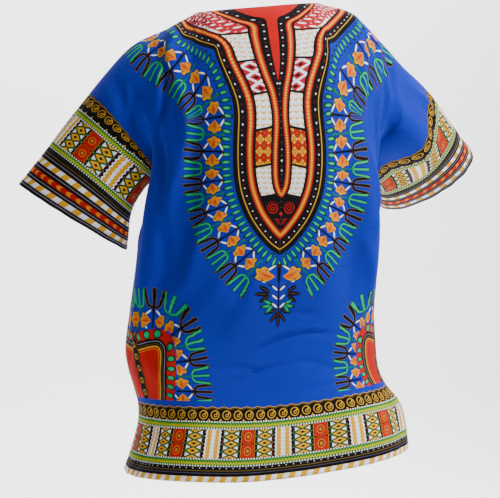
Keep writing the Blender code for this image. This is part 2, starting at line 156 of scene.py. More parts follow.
# Folds of each panel on the flat cut, in metres: across from the centre line and up from the hem
# at both ends, half the width, and the height of the ridge, or less than 0 for a trough.
FOLD_COLUMNS = ("across0", "up0", "across1", "up1", "half_width", "height")
FOLDS = {
    "back": (
        (0.130, 0.56, 0.178, 0.30, 0.034, 0.011),
        (0.185, 0.27, 0.225, 0.16, 0.030, 0.008),
        (0.190, 0.46, 0.245, 0.26, 0.032, -0.012),
        (0.020, 0.33, 0.085, 0.24, 0.030, -0.006),
        (-0.105, 0.50, -0.140, 0.28, 0.030, 0.008),
        (-0.155, 0.48, -0.200, 0.28, 0.030, -0.010),
        (-0.250, 0.60, -0.420, 0.57, 0.030, -0.022),
        (-0.280, 0.53, -0.440, 0.51, 0.028, 0.008),
        (0.105, 0.735, 0.150, 0.60, 0.022, 0.007),
        (0.135, 0.75, 0.190, 0.60, 0.020, -0.007),
        (-0.140, 0.73, -0.190, 0.58, 0.024, -0.008),
        (0.260, 0.24, 0.170, 0.13, 0.026, -0.007),
        (0.000, 0.03, 0.010, 0.13, 0.050, 0.005),
        (0.150, 0.00, 0.140, 0.11, 0.040, -0.006),
        (-0.140, 0.00, -0.130, 0.12, 0.045, -0.006),
    ),
    "front": (
        (0.060, 0.56, 0.090, 0.22, 0.034, 0.008),
        (0.125, 0.44, 0.165, 0.20, 0.034, -0.008),
        (-0.060, 0.54, -0.080, 0.20, 0.034, 0.007),
        (-0.130, 0.44, -0.160, 0.20, 0.034, -0.008),
        (0.100, 0.00, 0.095, 0.14, 0.045, 0.008),
        (-0.110, 0.00, -0.100, 0.15, 0.045, 0.008),
        (0.000, 0.00, 0.005, 0.20, 0.045, -0.006),
    ),
}

# How finely each panel is divided: columns on half the body and on a sleeve, rows above and below
# the underarm. The slit ends on a row, a whole number of rows below the neckline.
BODY_COLUMNS = 15
SLEEVE_COLUMNS = 10
UPPER_ROWS = 14
LOWER_ROWS = 18
CROWDING = 1.3         # how far the body's columns crowd towards the side seam, from 1 for evenly

FACING = {"back": 1.0, "front": -1.0}


# On the flat cut the shoulder line falls by this share of its length
SHOULDER_SLOPE = 0.16

# How much higher the hem hangs at the far right and at the far left, where it hangs lower
HEM_RISE = 0.031
HEM_RISE_LEFT = -0.002

# How the cloth leaves the shoulder line: out by a share of its depth and a little more. Below the
# neckline it leaves less by one share, and falls by another share of its height instead.
LEAVE_SHARE = 1.35
LEAVE_MORE = 0.02
NECK_LESS = 0.45
NECK_FALL = 0.22
ARRIVE_SHARE = 1.25    # and how it comes to the underarm level, as a share of its height
SLEEVE_BULGE = 4.0     # a curve's slope at its ends, over the height that it then reaches


def both_sides(across):
    """Each side's name and sign, and which of the signed places across lie on it."""
    for side, sign in (("left", 1.0), ("right", -1.0)):
        yield side, sign, np.sign(across + 1e-12) == sign


def cubic(t, start, end, leave, arrive):
    """A curve from start, with slope leave, to end, with slope arrive, for t from 0 to 1."""
    return (
        start * (1 + 2 * t) * (1 - t) ** 2
        + leave * t * (1 - t) ** 2
        + end * t**2 * (3 - 2 * t)
        + arrive * t**2 * (t - 1)
    )


def column(table, names, name):
    """One named column of a table."""
    return np.array([row[names.index(name)] for row in table], float)


def smooth(at, stops, values):
    """A smooth curve through values at rising stops, read at each place in at."""
    slopes = np.gradient(values, stops)
    i = np.clip(np.searchsorted(stops, at, side="right") - 1, 0, len(stops) - 2)
    span = stops[i + 1] - stops[i]
    t = np.clip((at - stops[i]) / span, 0.0, 1.0)
    return cubic(t, values[i], values[i + 1], slopes[i] * span, slopes[i + 1] * span)


def step(at, low, high):
    """0 below low, 1 above high, and a soft rise between them."""
    t = np.clip((at - low) / (high - low), 0.0, 1.0)
    return t * t * (3 - 2 * t)


def section(drop, across, panel):
    """Points of the body's section at one level, for signed shares from centre line to side."""
    stops = column(SECTIONS, SECTION_COLUMNS, "drop")
    size = {
        name: float(smooth(np.array([drop]), stops, column(SECTIONS, SECTION_COLUMNS, name))[0])
        for name in SECTION_COLUMNS[1:]
    }
    points = np.zeros((len(across), 3))
    turn = np.linspace(0.0, math.pi / 2, 241)
    power = 2.0 / size["boxy"]
    for side, sign, here in both_sides(across):
        out = size["centre"] + (sign * size[side] - size["centre"]) * np.sin(turn) ** power
        deep = FACING[panel] * size[panel] * np.cos(turn) ** power
        steps = np.hypot(np.diff(out), np.diff(deep))
        along = np.concatenate([[0.0], np.cumsum(steps)])
        along /= along[-1]
        points[here, 0] = np.interp(np.abs(across[here]), along, out)
        points[here, 1] = np.interp(np.abs(across[here]), along, deep)
    points[:, 2] = -drop
    return points


def hem_lift(across):
    """How much higher than its lowest level the hem hangs, towards both sides."""
    return HEM_RISE * step(-across, -0.26, 1.0) + HEM_RISE_LEFT * step(across, 0.3, 1.0)


def flat_across(across, down):
    """Flat distance from the centre line, signed."""
    half = BODY_HALF + (HEM_HALF - BODY_HALF) * np.clip(down - 1.0, 0.0, 1.0)
    body = np.minimum(np.abs(across), 1.0) * half
    sleeve = np.maximum(np.abs(across) - 1.0, 0.0) * (HALF_SPAN - BODY_HALF)
    return np.sign(across) * (body + sleeve)


def flat_up(across, down, panel):
    """Flat height above the hem."""
    out = np.abs(flat_across(across, 0.0 * down))
    top = LENGTH - SHOULDER_SLOPE * np.maximum(out - NECK_HALF, 0.0)
    neck = np.clip(out / NECK_HALF, 0.0, 1.0)
    top = top - abs(NECKLINE[panel][1]) * np.sqrt(1.0 - neck**2)
    at_cuff = LENGTH - SHOULDER_SLOPE * (HALF_SPAN - NECK_HALF) - CUFF_DEPTH
    under = (LENGTH - UNDERARM) + (at_cuff - LENGTH + UNDERARM) * np.clip(np.abs(across) - 1, 0, 1)
    upper = top + (under - top) * np.clip(down, 0.0, 1.0)
    return np.where(down > 1.0, under * (2.0 - down), upper)


def top_points(across, panel):
    """The panel's upper edge: the shoulder line, and the neckline between its two ends."""
    points = np.zeros((len(across), 3))
    out = np.abs(flat_across(across, np.zeros(len(across))))
    for side, sign, here in both_sides(across):
        line = SHOULDER_LINE[side]
        share = np.clip((out[here] - NECK_HALF) / (HALF_SPAN - NECK_HALF), 0.0, 1.0)
        stops = column(line, LINE_COLUMNS, "share")
        x, y, z = (smooth(share, stops, column(line, LINE_COLUMNS, n)) for n in LINE_COLUMNS[1:])
        neck = np.clip(out[here] / NECK_HALF, 0.0, 1.0)
        inside = neck < 1.0
        depth, drop = NECKLINE[panel]
        arc = np.cos(neck * math.pi / 2)
        reach = np.sin(neck * math.pi / 2)
        middle = (SHOULDER_LINE["left"][0][3] + SHOULDER_LINE["right"][0][3]) / 2
        level = middle + (line[0][3] - middle) * reach
        x = np.where(inside, line[0][1] * reach, x)
        y = np.where(inside, line[0][2] + (depth - line[0][2]) * arc, y)
        z = np.where(inside, level + drop * arc, z)
        points[here] = np.stack([sign * x, y, -z], axis=1)
    return points


def under_points(across, panel):
    """The panel's lower edge above the underarm level: the body's section, then the seam."""
    body = section(UNDERARM_DROP, np.clip(across, -1.0, 1.0), panel)
    for side, sign, here in both_sides(across):
        here = here & (np.abs(across) > 1.0)
        share = (np.abs(across[here]) - 1.0)[:, None] ** UNDERARM_GATHER
        out, back, drop = CUFF_UNDER[side]
        pit = section(UNDERARM_DROP, np.array([sign]), panel)[0]
        end = np.array([sign * out, back, -drop])
        body[here] = pit + (end - pit) * share
        bow = np.sqrt(share[:, 0]) * (1.0 - share[:, 0]) ** 2
        body[here, 0] += sign * UNDERARM_BOW * bow
    return body


def upper_block(across, down, panel):
    """Points from the shoulder line to the underarm level, as [row][column]."""
    facing = FACING[panel]
    top = top_points(across, panel)
    end = under_points(across, panel)
    out = np.abs(across)
    sleeve = step(out, 0.62, 1.12)[:, None]
    hang = end - top

    lower = section(UNDERARM_DROP + 0.02, np.clip(across, -1, 1), panel)
    level = section(UNDERARM_DROP, np.clip(across, -1, 1), panel)
    fall = (lower - level) / 0.02
    deep = np.abs(hang[:, 1:2])
    tall = np.abs(hang[:, 2:3])
    leave = np.zeros_like(top)
    leave[:, 1:2] = facing * (LEAVE_SHARE * deep + LEAVE_MORE)
    inside_neck = step(1.0 - out * BODY_HALF / NECK_HALF, 0.0, 0.8)[:, None]
    leave = leave * (1.0 - NECK_LESS * inside_neck)
    leave[:, 2:3] -= NECK_FALL * inside_neck * tall
    arrive = fall * ARRIVE_SHARE * tall

    bulge = np.zeros_like(top)
    for side, sign, here in both_sides(across):
        chord = hang[here] / np.linalg.norm(hang[here], axis=1, keepdims=True)
        ahead = np.gradient(top, axis=0)[here] * sign
        ahead = ahead - (ahead * chord).sum(1, keepdims=True) * chord
        ahead /= np.linalg.norm(ahead, axis=1, keepdims=True)
        share = np.clip(out[here] - 1.0, 0.0, 1.0)[:, None]
        near, far = SLEEVE_TURN[side]
        normal = np.cross(ahead, chord) * sign
        normal[:, ::2] *= near + (far - near) * share
        normal /= np.linalg.norm(normal, axis=1, keepdims=True)
        near, far = SLEEVE_DEPTH[side]
        bulge[here] = facing * normal * (near + (far - near) * share) * SLEEVE_BULGE
    leave = leave * (1.0 - sleeve) + bulge * sleeve
    arrive = arrive * (1.0 - sleeve) - bulge * sleeve

    return cubic(np.clip(down, 0.0, 1.0)[:, None, None], top, end, leave, arrive)


def tuck(across, down, panel):
    """How far each point is drawn towards the underarm crease."""
    out = np.abs(across)
    start = TUCK_START[panel]
    beside = np.where(out < 1.0, step(out, start, 1.0), 1.0 - step(out, 1.0, TUCK_OUT))
    level = np.where(down < 1.0, step(down, TUCK_TOP, 1.0), 1.0 - step(down, 1.0, TUCK_END[panel]))
    weight = beside * level
    move = np.zeros(across.shape + (3,))
    for side, sign, here in both_sides(across):
        inward, forward = UNDERARM_TUCK[side]
        move[here, 0] = -sign * inward * weight[here]
        move[here, 1] = -forward * weight[here]
    if panel == "front":
        above = np.sin(math.pi * np.clip(down, 0.0, 1.0)) ** 0.7
        move[..., 1] -= FRONT_FILL * above * np.exp(-(((out - 1.0) / FILL_WIDE) ** 2))
        inward = FRONT_INWARD * np.sin(math.pi * beside) * level * (out < 1.0)
        move[..., 0] -= np.sign(across) * inward
    return move


def lower_block(across, down, panel):
    """Points of the body from the underarm level to the hem, as [row][column]."""
    rows = []
    for place in down:
        share = place - 1.0
        drop = UNDERARM_DROP + (HEM_DROP - UNDERARM_DROP) * share
        points = section(drop, across, panel)
        points[:, 2] += hem_lift(across) * step(share, 0.35, 1.0)
        rows.append(points)
    return np.array(rows)


def fold_height(rows, across, up, lead, rise, bow=0.0):
    """How far the cloth stands out for a table of folds, at flat places on the cut.

    Each fold rises from lead before its end to rise past it, as shares of its length, and bows
    sideways by bow of its length.
    """
    total = np.zeros(np.broadcast(across, up).shape)
    for row in rows:
        fold = dict(zip(FOLD_COLUMNS, row))
        along = np.array([fold["across1"] - fold["across0"], fold["up1"] - fold["up0"]])
        long = math.hypot(*along)
        along /= long
        from_start = (across - fold["across0"]) * along[0] + (up - fold["up0"]) * along[1]
        beside = (up - fold["up0"]) * along[0] - (across - fold["across0"]) * along[1]
        beside = beside + bow * long * np.sin(math.pi * np.clip(from_start / long, 0, 1))
        start = step(from_start, -lead * long, rise * long)
        end = step(long - from_start, -lead * long, rise * long)
        total += fold["height"] * start * end * np.exp(-((beside / fold["half_width"]) ** 2))
    return total


def slit_half(up):
    """Half the width of the front slit at a flat height, 0 below its end."""
    mouth = LENGTH - NECKLINE["front"][1]
    return SLIT_HALF * np.clip((up - (mouth - SLIT_LENGTH)) / SLIT_LENGTH, 0.0, 1.0) ** 0.8


def ease(grid, across, down, rounds):
    """Rounds off the creases near the underarm: each point moves towards its neighbours' middle."""
    out = np.abs(across)
    weight = np.exp(-(((out - 1.0) / EASE_WIDE) ** 2) - ((down - EASE_LEVEL) / EASE_TALL) ** 2)
    weight[(out >= 1.0 - 1e-9) & (down >= 1.0 - 1e-9)] = 0.0
    weight[0] = weight[-1] = 0.0
    weight[:, 0] = weight[:, -1] = 0.0
    weight = weight[1:-1, 1:-1, None]
    for _ in range(rounds):
        middle = (grid[:-2, 1:-1] + grid[2:, 1:-1] + grid[1:-1, :-2] + grid[1:-1, 2:]) / 4
        grid[1:-1, 1:-1] += weight * (middle - grid[1:-1, 1:-1]) * EASE_PULL


def quads(number):
    """The quads of a grid of point numbers, where -1 stands for no point."""
    a, b, c, d = number[:-1, :-1], number[1:, :-1], number[1:, 1:], number[:-1, 1:]
    whole = (a >= 0) & (b >= 0) & (c >= 0) & (d >= 0)
    return np.stack([a[whole], b[whole], c[whole], d[whole]], 1)


class Panel:
    """The points and faces of one panel's outer surface."""

    def __init__(self, name):
        self.name = name
        body = 1.0 - np.linspace(1.0, 0.0, BODY_COLUMNS + 1) ** CROWDING
        sleeve = np.linspace(1.0, 2.0, SLEEVE_COLUMNS + 1)[1:]
        half = np.concatenate([body, sleeve])
        self.across = np.concatenate([-half[::-1], half])
        upper = np.linspace(0.0, 1.0, UPPER_ROWS + 1)
        lower = np.linspace(1.0, 2.0, LOWER_ROWS + 1)[1:]
        self.down = np.concatenate([upper, lower])
        self.middle = len(half)
        self.lay_out()
        self.number_points()
        self.make_faces()

    def lay_out(self):
        """Places every point of the grid, and its flat place on the cut."""
        top = upper_block(self.across, self.down[: UPPER_ROWS + 1], self.name)
        body = lower_block(np.clip(self.across, -1, 1), self.down[UPPER_ROWS + 1 :], self.name)
        down, across = np.meshgrid(self.down, self.across, indexing="ij")
        self.grid = np.concatenate([top, body]) + tuck(across, down, self.name)
        ease(self.grid, across, down, EASE_ROUNDS[self.name])
        self.flat_across = flat_across(across, down)
        self.flat_up = flat_up(across, down, self.name)
        self.open_slit = np.zeros(len(self.down), bool)
        if self.name == "front":
            half = slit_half(self.flat_up[:, self.middle])
            self.open_slit = half > 0.0
            fade = np.clip(1.0 - np.abs(self.flat_across) / 0.06, 0.0, 1.0)
            side = np.where(np.arange(len(self.across)) < self.middle, -1.0, 1.0)
            self.grid[:, :, 0] += side * half[:, None] * fade

    def number_points(self):
        """Gives each grid point its number; the two middle columns are one where nothing is cut."""
        fresh = (self.down[:, None] <= 1.0) | (np.abs(self.across)[None, :] <= 1.0)
        closed = ~self.open_slit
        fresh[closed, self.middle] = False
        number = -np.ones(fresh.shape, int)
        number[fresh] = np.arange(fresh.sum())
        number[closed, self.middle] = number[closed, self.middle - 1]
        self.number = number
        known = number >= 0
        self.points = np.zeros((fresh.sum(), 3))
        self.points[number[known]] = self.grid[known]
        self.flat = np.zeros((fresh.sum(), 2))
        self.flat[number[known], 0] = self.flat_across[known]
        self.flat[number[known], 1] = self.flat_up[known]

    def make_faces(self):
        """Quads of the outer surface, each turned so that it faces out."""
        left, right = self.number[:, : self.middle], self.number[:, self.middle :]
        faces = np.concatenate([quads(left), quads(right)])
        self.faces = faces if self.name == "back" else faces[:, ::-1]

    def seam_points(self):
        """Numbers of the points on a seam, with the number of the point one step inside."""
        pairs = {}
        last = len(self.down) - 1
        for c, across in enumerate(self.across):
            if abs(flat_across(across, np.zeros(1))[0]) >= NECK_HALF - 1e-9:
                pairs[self.number[0, c]] = (self.number[1, c], (0, c))
            if abs(across) >= 1.0 - 1e-9:
                above = self.number[UPPER_ROWS - 1, c]
                pairs[self.number[UPPER_ROWS, c]] = (above, (UPPER_ROWS, c))
        for r in range(UPPER_ROWS, last + 1):
            for c, inward in ((SLEEVE_COLUMNS, 1), (len(self.across) - 1 - SLEEVE_COLUMNS, -1)):
                pairs[self.number[r, c]] = (self.number[r, c + inward], (r, c))
        return pairs


def crossed(points, faces):
    """The cross product of each quad's diagonals: its normal, twice its area long."""
    corners = points[faces]
    return np.cross(corners[:, 2] - corners[:, 0], corners[:, 3] - corners[:, 1])


def unit_length(vectors):
    return vectors / np.maximum(np.linalg.norm(vectors, axis=1, keepdims=True), 1e-12)


def normals(points, faces):
    """Sum of the normals of the faces round each point, weighted by area."""
    total = np.zeros_like(points)
    for k in range(4):
        np.add.at(total, faces[:, k], crossed(points, faces))
    return total


def lean_evenly(start, around):
    """A direction near start that leans away from none of the normals around it."""
    turned = start / np.linalg.norm(start)
    for _ in range(LEAN_ROUNDS):
        least = around[np.argmin(around @ turned)]
        turned = turned + LEAN_STEP * least
        turned /= np.linalg.norm(turned)
    return turned


def join_normals(panels):
    """Unit normals of both panels, the same on both sides of a seam."""
    found = {p.name: normals(p.points, p.faces) for p in panels}
    back, front = panels
    shared = {n: front.number[place] for n, (_, place) in back.seam_points().items()}
    for number, other in shared.items():
        both = found["back"][number] + found["front"][other]
        found["back"][number] = both
        found["front"][other] = both
    unit = {n: unit_length(v) for n, v in found.items()}
    sides = {p.name: unit_length(crossed(p.points, p.faces)) for p in panels}
    partner = {"back": shared, "front": {b: a for a, b in shared.items()}}
    for panel, beyond in ((back, front), (front, back)):
        lean = (unit[panel.name][panel.faces] * sides[panel.name][:, None]).sum(2)
        for number in sorted(set(panel.faces[lean < CREASE_LEAN].tolist())):
            around = sides[panel.name][(panel.faces == number).any(1)]
            other = partner[panel.name].get(number)
            if other is not None:
                across_seam = sides[beyond.name][(beyond.faces == other).any(1)]
                around = np.concatenate([around, across_seam])
            unit[panel.name][number] = lean_evenly(unit[panel.name][number], around)
            if other is not None:
                unit[beyond.name][other] = unit[panel.name][number]
    return unit


def raise_folds(panels):
    """Moves the points out or in for the folds, less and less towards a seam."""
    unit = join_normals(panels)
    for panel in panels:
        height = fold_height(FOLDS[panel.name], panel.flat[:, 0], panel.flat[:, 1], 0.35, 0.3)
        number = panel.number
        calm = np.ones(len(height))
        rows = np.arange(len(panel.down))[:, None] * np.ones(len(panel.across))[None, :]
        near_top = np.clip(rows / CALM_ROWS, 0.0, 1.0)
        near_side = np.ones_like(near_top)
        below = panel.down > 1.0
        near_side[below] = np.clip((1.0 - np.abs(panel.across)) / CALM_SHARE, 0.0, 1.0)
        under = np.clip((UPPER_ROWS - rows) / CALM_ROWS, 0.0, 1.0)
        on_sleeve = step(np.abs(panel.across), 0.85, 1.1)[None, :]
        near_side = near_side * (1.0 - on_sleeve * (1.0 - under) * (~below[:, None]))
        known = number >= 0
        calm[number[known]] = (near_top * near_side)[known]
        panel.points += unit[panel.name] * (height * calm)[:, None]


# How finely the cloth is divided: parts of each step of the panels' own grid
PARTS = 6

SEAM_DIP = 0.0009      # how far an edge rolls in at a seam

# The print's guide curves for the left half, from the lower end up: out from the centre line and
# up from the hem. gold is the gold line round the neck panel, inner the flame line round its
# middle and slit the edge of the plain middle; leaves and ring are the rows round the panel, arch
# is the gold line of the side print, out from the line it is mirrored about, and side its ring.
CURVES = {
    "gold": (
        (0.0000, 0.352), (0.0150, 0.3625), (0.0310, 0.380), (0.0450, 0.400), (0.0545, 0.420),
        (0.0615, 0.440), (0.0655, 0.460), (0.0675, 0.480), (0.0680, 0.500), (0.0660, 0.520),
        (0.0625, 0.540), (0.0610, 0.560), (0.0645, 0.580), (0.0700, 0.600), (0.0745, 0.620),
        (0.0765, 0.638), (0.0880, 0.6415), (0.1010, 0.6465), (0.1200, 0.6600), (0.1370, 0.677),
        (0.1480, 0.695), (0.1550, 0.720), (0.1600, 0.760),
    ),
    "inner": (
        (0.0000, 0.435), (0.0040, 0.441), (0.0078, 0.452), (0.0098, 0.470), (0.0098, 0.500),
        (0.0070, 0.530), (0.0066, 0.550), (0.0095, 0.575), (0.0152, 0.600), (0.0190, 0.630),
        (0.0198, 0.660), (0.0198, 0.6840), (0.0330, 0.6960), (0.0450, 0.7110), (0.0540, 0.726),
        (0.0620, 0.760),
    ),
    "slit": (
        (0.0000, 0.587), (0.0035, 0.612), (0.0052, 0.645), (0.0056, 0.680), (0.0068, 0.698),
        (0.0160, 0.7060), (0.0240, 0.7160), (0.0300, 0.729), (0.0345, 0.745), (0.0370, 0.775),
    ),
    "arch": (
        (0.0280, 0.100), (0.0400, 0.125), (0.0480, 0.150), (0.0520, 0.175), (0.0510, 0.193),
        (0.0450, 0.202), (0.0300, 0.2010), (0.0150, 0.197), (-0.0200, 0.190),
    ),
    "leaves": (
        (0.0000, 0.3300), (0.0120, 0.3345), (0.0300, 0.3500), (0.0500, 0.3740), (0.0660, 0.400),
        (0.0780, 0.430), (0.0850, 0.460), (0.0878, 0.490), (0.0868, 0.515), (0.0830, 0.540),
        (0.0822, 0.560), (0.0860, 0.580), (0.0930, 0.600), (0.1020, 0.6150), (0.1150, 0.628),
        (0.1320, 0.6420), (0.1480, 0.6560), (0.1590, 0.6700), (0.1680, 0.690), (0.1730, 0.720),
        (0.1760, 0.760),
    ),
    "ring": (
        (0.0000, 0.3110), (0.0220, 0.3120), (0.0450, 0.3290), (0.0700, 0.3590), (0.0880, 0.388),
        (0.1010, 0.420), (0.1080, 0.455), (0.1090, 0.490), (0.1060, 0.520), (0.1040, 0.545),
        (0.1090, 0.565), (0.1220, 0.585), (0.1400, 0.605), (0.1600, 0.625), (0.1800, 0.644),
        (0.1950, 0.665), (0.2020, 0.690), (0.2050, 0.740),
    ),
    "side": (
        (0.0840, 0.090), (0.0850, 0.120), (0.0850, 0.160), (0.0800, 0.195), (0.0720, 0.218),
        (0.0600, 0.2330), (0.0400, 0.2410), (0.0150, 0.243), (-0.0200, 0.243),
    ),
}
SIDE_CENTRE = 0.245    # the side print is mirrored about this line
RING_REPEAT = 0.043    # along the ring of blossoms
LEAF_REPEAT = 0.0098   # along the row of leaves

# Small folds on the cut, as in FOLDS, that only the cloth as shown has
CREASES = {
    "back": (
        (0.190, 0.665, 0.219, 0.530, 0.0090, -0.0075),
        (0.221, 0.550, 0.206, 0.380, 0.0115, -0.0075),
        (0.172, 0.620, 0.184, 0.430, 0.0110, 0.0050),
        (0.150, 0.520, 0.164, 0.330, 0.0130, -0.0060),
        (0.132, 0.410, 0.186, 0.255, 0.0130, 0.0060),
        (0.190, 0.400, 0.226, 0.250, 0.0110, -0.0055),
        (0.168, 0.330, 0.205, 0.170, 0.0100, -0.0040),
        (0.050, 0.320, 0.138, 0.210, 0.0130, -0.0045),
        (0.082, 0.335, 0.152, 0.245, 0.0110, 0.0035),
        (0.065, 0.178, -0.142, 0.212, 0.0045, -0.0030),
        (0.060, 0.188, -0.120, 0.221, 0.0042, 0.0022),
        (0.087, 0.139, -0.118, 0.160, 0.0045, -0.0028),
        (0.080, 0.149, -0.070, 0.168, 0.0040, 0.0020),
        (0.020, 0.236, -0.080, 0.247, 0.0060, -0.0022),
        (0.105, 0.163, 0.020, 0.158, 0.0050, -0.0022),
        (-0.040, 0.130, -0.130, 0.137, 0.0045, 0.0018),
        (-0.160, 0.688, -0.171, 0.560, 0.0070, -0.0065),
        (-0.188, 0.700, -0.203, 0.575, 0.0085, 0.0060),
        (-0.222, 0.705, -0.242, 0.580, 0.0085, -0.0075),
        (-0.205, 0.640, -0.221, 0.520, 0.0085, -0.0050),
        (-0.142, 0.650, -0.150, 0.520, 0.0080, 0.0035),
        (-0.190, 0.570, -0.204, 0.400, 0.0110, -0.0065),
        (-0.160, 0.520, -0.172, 0.360, 0.0110, 0.0045),
        (-0.176, 0.430, -0.215, 0.270, 0.0115, -0.0055),
        (-0.145, 0.380, -0.190, 0.250, 0.0110, 0.0035),
        (0.105, 0.735, 0.150, 0.630, 0.0090, 0.0040),
        (0.130, 0.735, 0.175, 0.640, 0.0085, -0.0050),
        (0.165, 0.720, 0.200, 0.610, 0.0095, 0.0045),
        (0.250, 0.590, 0.330, 0.490, 0.0080, -0.0035),
        (0.265, 0.640, 0.360, 0.560, 0.0090, 0.0030),
        (-0.255, 0.520, -0.330, 0.490, 0.0110, -0.0020),
        (-0.262, 0.615, -0.300, 0.570, 0.0120, 0.0018),
        (-0.290, 0.660, -0.400, 0.600, 0.0090, 0.0035),
        (0.215, 0.300, 0.262, 0.190, 0.0090, 0.0040),
        (0.240, 0.280, 0.280, 0.170, 0.0085, -0.0045),
        (0.190, 0.100, 0.212, 0.006, 0.0120, 0.0040),
        (0.235, 0.110, 0.262, 0.004, 0.0120, -0.0045),
        (-0.020, 0.060, -0.030, 0.002, 0.0140, 0.0025),
        (-0.205, 0.090, -0.225, 0.004, 0.0130, -0.0035),
    ),
    "front": (
        (0.050, 0.260, -0.060, 0.245, 0.0050, -0.0028),
        (0.045, 0.270, -0.050, 0.256, 0.0045, 0.0020),
        (-0.030, 0.215, -0.110, 0.232, 0.0050, -0.0026),
        (0.095, 0.180, 0.020, 0.166, 0.0050, -0.0026),
        (0.040, 0.145, -0.080, 0.152, 0.0045, 0.0020),
        (0.110, 0.690, 0.150, 0.560, 0.0100, 0.0050),
        (0.140, 0.690, 0.190, 0.570, 0.0095, -0.0060),
        (0.185, 0.670, 0.215, 0.520, 0.0090, -0.0065),
        (-0.110, 0.690, -0.155, 0.560, 0.0100, 0.0050),
        (-0.145, 0.690, -0.195, 0.570, 0.0095, -0.0060),
        (-0.190, 0.660, -0.222, 0.510, 0.0090, -0.0060),
        (0.150, 0.440, 0.200, 0.250, 0.0120, 0.0050),
        (0.185, 0.430, 0.222, 0.230, 0.0110, -0.0055),
        (-0.150, 0.420, -0.200, 0.230, 0.0120, 0.0045),
        (-0.190, 0.440, -0.225, 0.260, 0.0110, -0.0055),
        (0.120, 0.520, 0.165, 0.400, 0.0120, -0.0040),
        (-0.115, 0.530, -0.160, 0.420, 0.0120, -0.0040),
        (0.280, 0.600, 0.330, 0.520, 0.0100, -0.0035),
        (-0.280, 0.600, -0.330, 0.520, 0.0100, -0.0035),
        (0.210, 0.110, 0.235, 0.004, 0.0120, -0.0040),
        (-0.180, 0.100, -0.200, 0.004, 0.0120, 0.0040),
    ),
}


def between(rows, ahead):
    """Points on smooth curves through the rows, PARTS to each span; ahead lies before the first."""
    beyond = (2 * rows[-1] - rows[-2])[None]
    known = np.concatenate([ahead[None], rows, beyond])
    t = (np.arange(PARTS) / PARTS).reshape((-1,) + (1,) * (rows.ndim - 1))
    out = []
    for i in range(len(rows) - 1):
        a, b, c, d = known[i : i + 4]
        cubic = (2 * a - 5 * b + 4 * c - d) * t**2 + (3 * b - a - 3 * c + d) * t**3
        out.append(0.5 * (2 * b + (c - a) * t + cubic))
    return np.concatenate(out + [rows[-1:]])


def turned(grid):
    """A grid with its rows and columns changed round."""
    return np.swapaxes(grid, 0, 1)


def finer(panel):
    """Both halves of a panel, left then right, as fine grids of place, across and up."""
    known = panel.number >= 0
    grid = np.zeros(panel.number.shape + (5,))
    grid[known, :3] = panel.points[panel.number[known]]
    grid[..., 3] = panel.flat_across
    grid[..., 4] = panel.flat_up
    body = BODY_COLUMNS * PARTS + 1
    middle = panel.middle
    halves = []
    for columns, other in (
        (range(middle, grid.shape[1]), middle - 2),
        (range(middle - 1, -1, -1), middle + 1),
    ):
        half = grid[:, list(columns)]
        wide = turned(between(turned(half), grid[:, other]))
        narrow = turned(between(turned(half[:, : BODY_COLUMNS + 1]), grid[:, other]))
        wide[UPPER_ROWS + 1 :, :body] = narrow[UPPER_ROWS + 1 :]
        trunk = between(wide[:, :body], 2 * wide[0, :body] - wide[1, :body])
        upper = wide[: UPPER_ROWS + 1, body:]
        sleeve = between(upper, 2 * upper[0] - upper[1])
        full = np.full((trunk.shape[0], wide.shape[1], 5), np.nan)
        full[:, :body] = trunk
        full[: sleeve.shape[0], body:] = sleeve
        halves.append(full)
    return halves


def share_seams(cloths):
    """Makes the two panels' seam lines one and the same."""
    body = BODY_COLUMNS * PARTS
    under = UPPER_ROWS * PARTS
    place = slice(3)
    for side in (0, 1):
        back, front = (cloth[side] for cloth in cloths)
        shoulder = np.abs(back[0, :, 3]) >= NECK_HALF - 1e-6
        for seam in (
            (0, shoulder, place),
            (under, slice(body, None), place),
            (slice(under, None), body, place),
        ):
            back[seam] = front[seam] = (back[seam] + front[seam]) / 2




def beside_curve(curve, out, up):
    """How far along a guide curve each place lies, and how far outside it, less than 0 within."""
    known = np.array(CURVES[curve])
    line = between(known, 2 * known[0] - known[1])
    start = line[:-1]
    step_on = np.diff(line, axis=0)
    long = np.hypot(step_on[:, 0], step_on[:, 1])
    before = np.concatenate([[0.0], np.cumsum(long)[:-1]])
    place = np.stack([out.ravel(), up.ravel()], 1)
    best = np.full(len(place), 9.0)
    along = np.zeros(len(place))
    outside = np.zeros(len(place))
    for a, d, l, s in zip(start, step_on, long, before):
        from_a = place - a
        t = np.clip((from_a * d).sum(1) / (l * l), 0.0, 1.0)
        off = from_a - t[:, None] * d
        far = np.hypot(off[:, 0], off[:, 1])
        nearer = far < best - 1e-9
        best[nearer] = far[nearer]
        along[nearer] = s + t[nearer] * l
        turn = d[0] * from_a[:, 1] - d[1] * from_a[:, 0]
        outside[nearer] = np.where(turn[nearer] < 0, far[nearer], -far[nearer])
    return along.reshape(out.shape), outside.reshape(out.shape)


LEAST_GAP = 2e-5       # where the halves lie further apart than this, the cloth is cut open
HEM_STEP = 0.002       # half the width over which a hem's thickness ends

# Slight waves: the height of those all over the cloth, and for the hem and the cuffs the height,
# how far in they reach, over what width they fade, and how fast they run and wander
WANDER = 0.0007
HEM_WAVE = (0.0007, 0.018, 0.012, 165, 37)
CUFF_WAVE = (0.0006, 0.016, 0.010, 170, 41)

# The print is stretched to the worn sleeve over this width from the body, and on the right of the
# neck it is bent: where across and up, how wide and tall that place is, and how far it is shifted
SLEEVE_BLEND = 0.045
PRINT_BEND = (-0.085, 0.632, 0.035, 0.045, 0.012)

# The ring's repeats start this far along it, after a drawn-out first one at its tip, and get
# longer by this share from a place further on
RING_START = 0.0235
RING_SLOWER = 0.22
RING_SLOW_FROM = 0.275

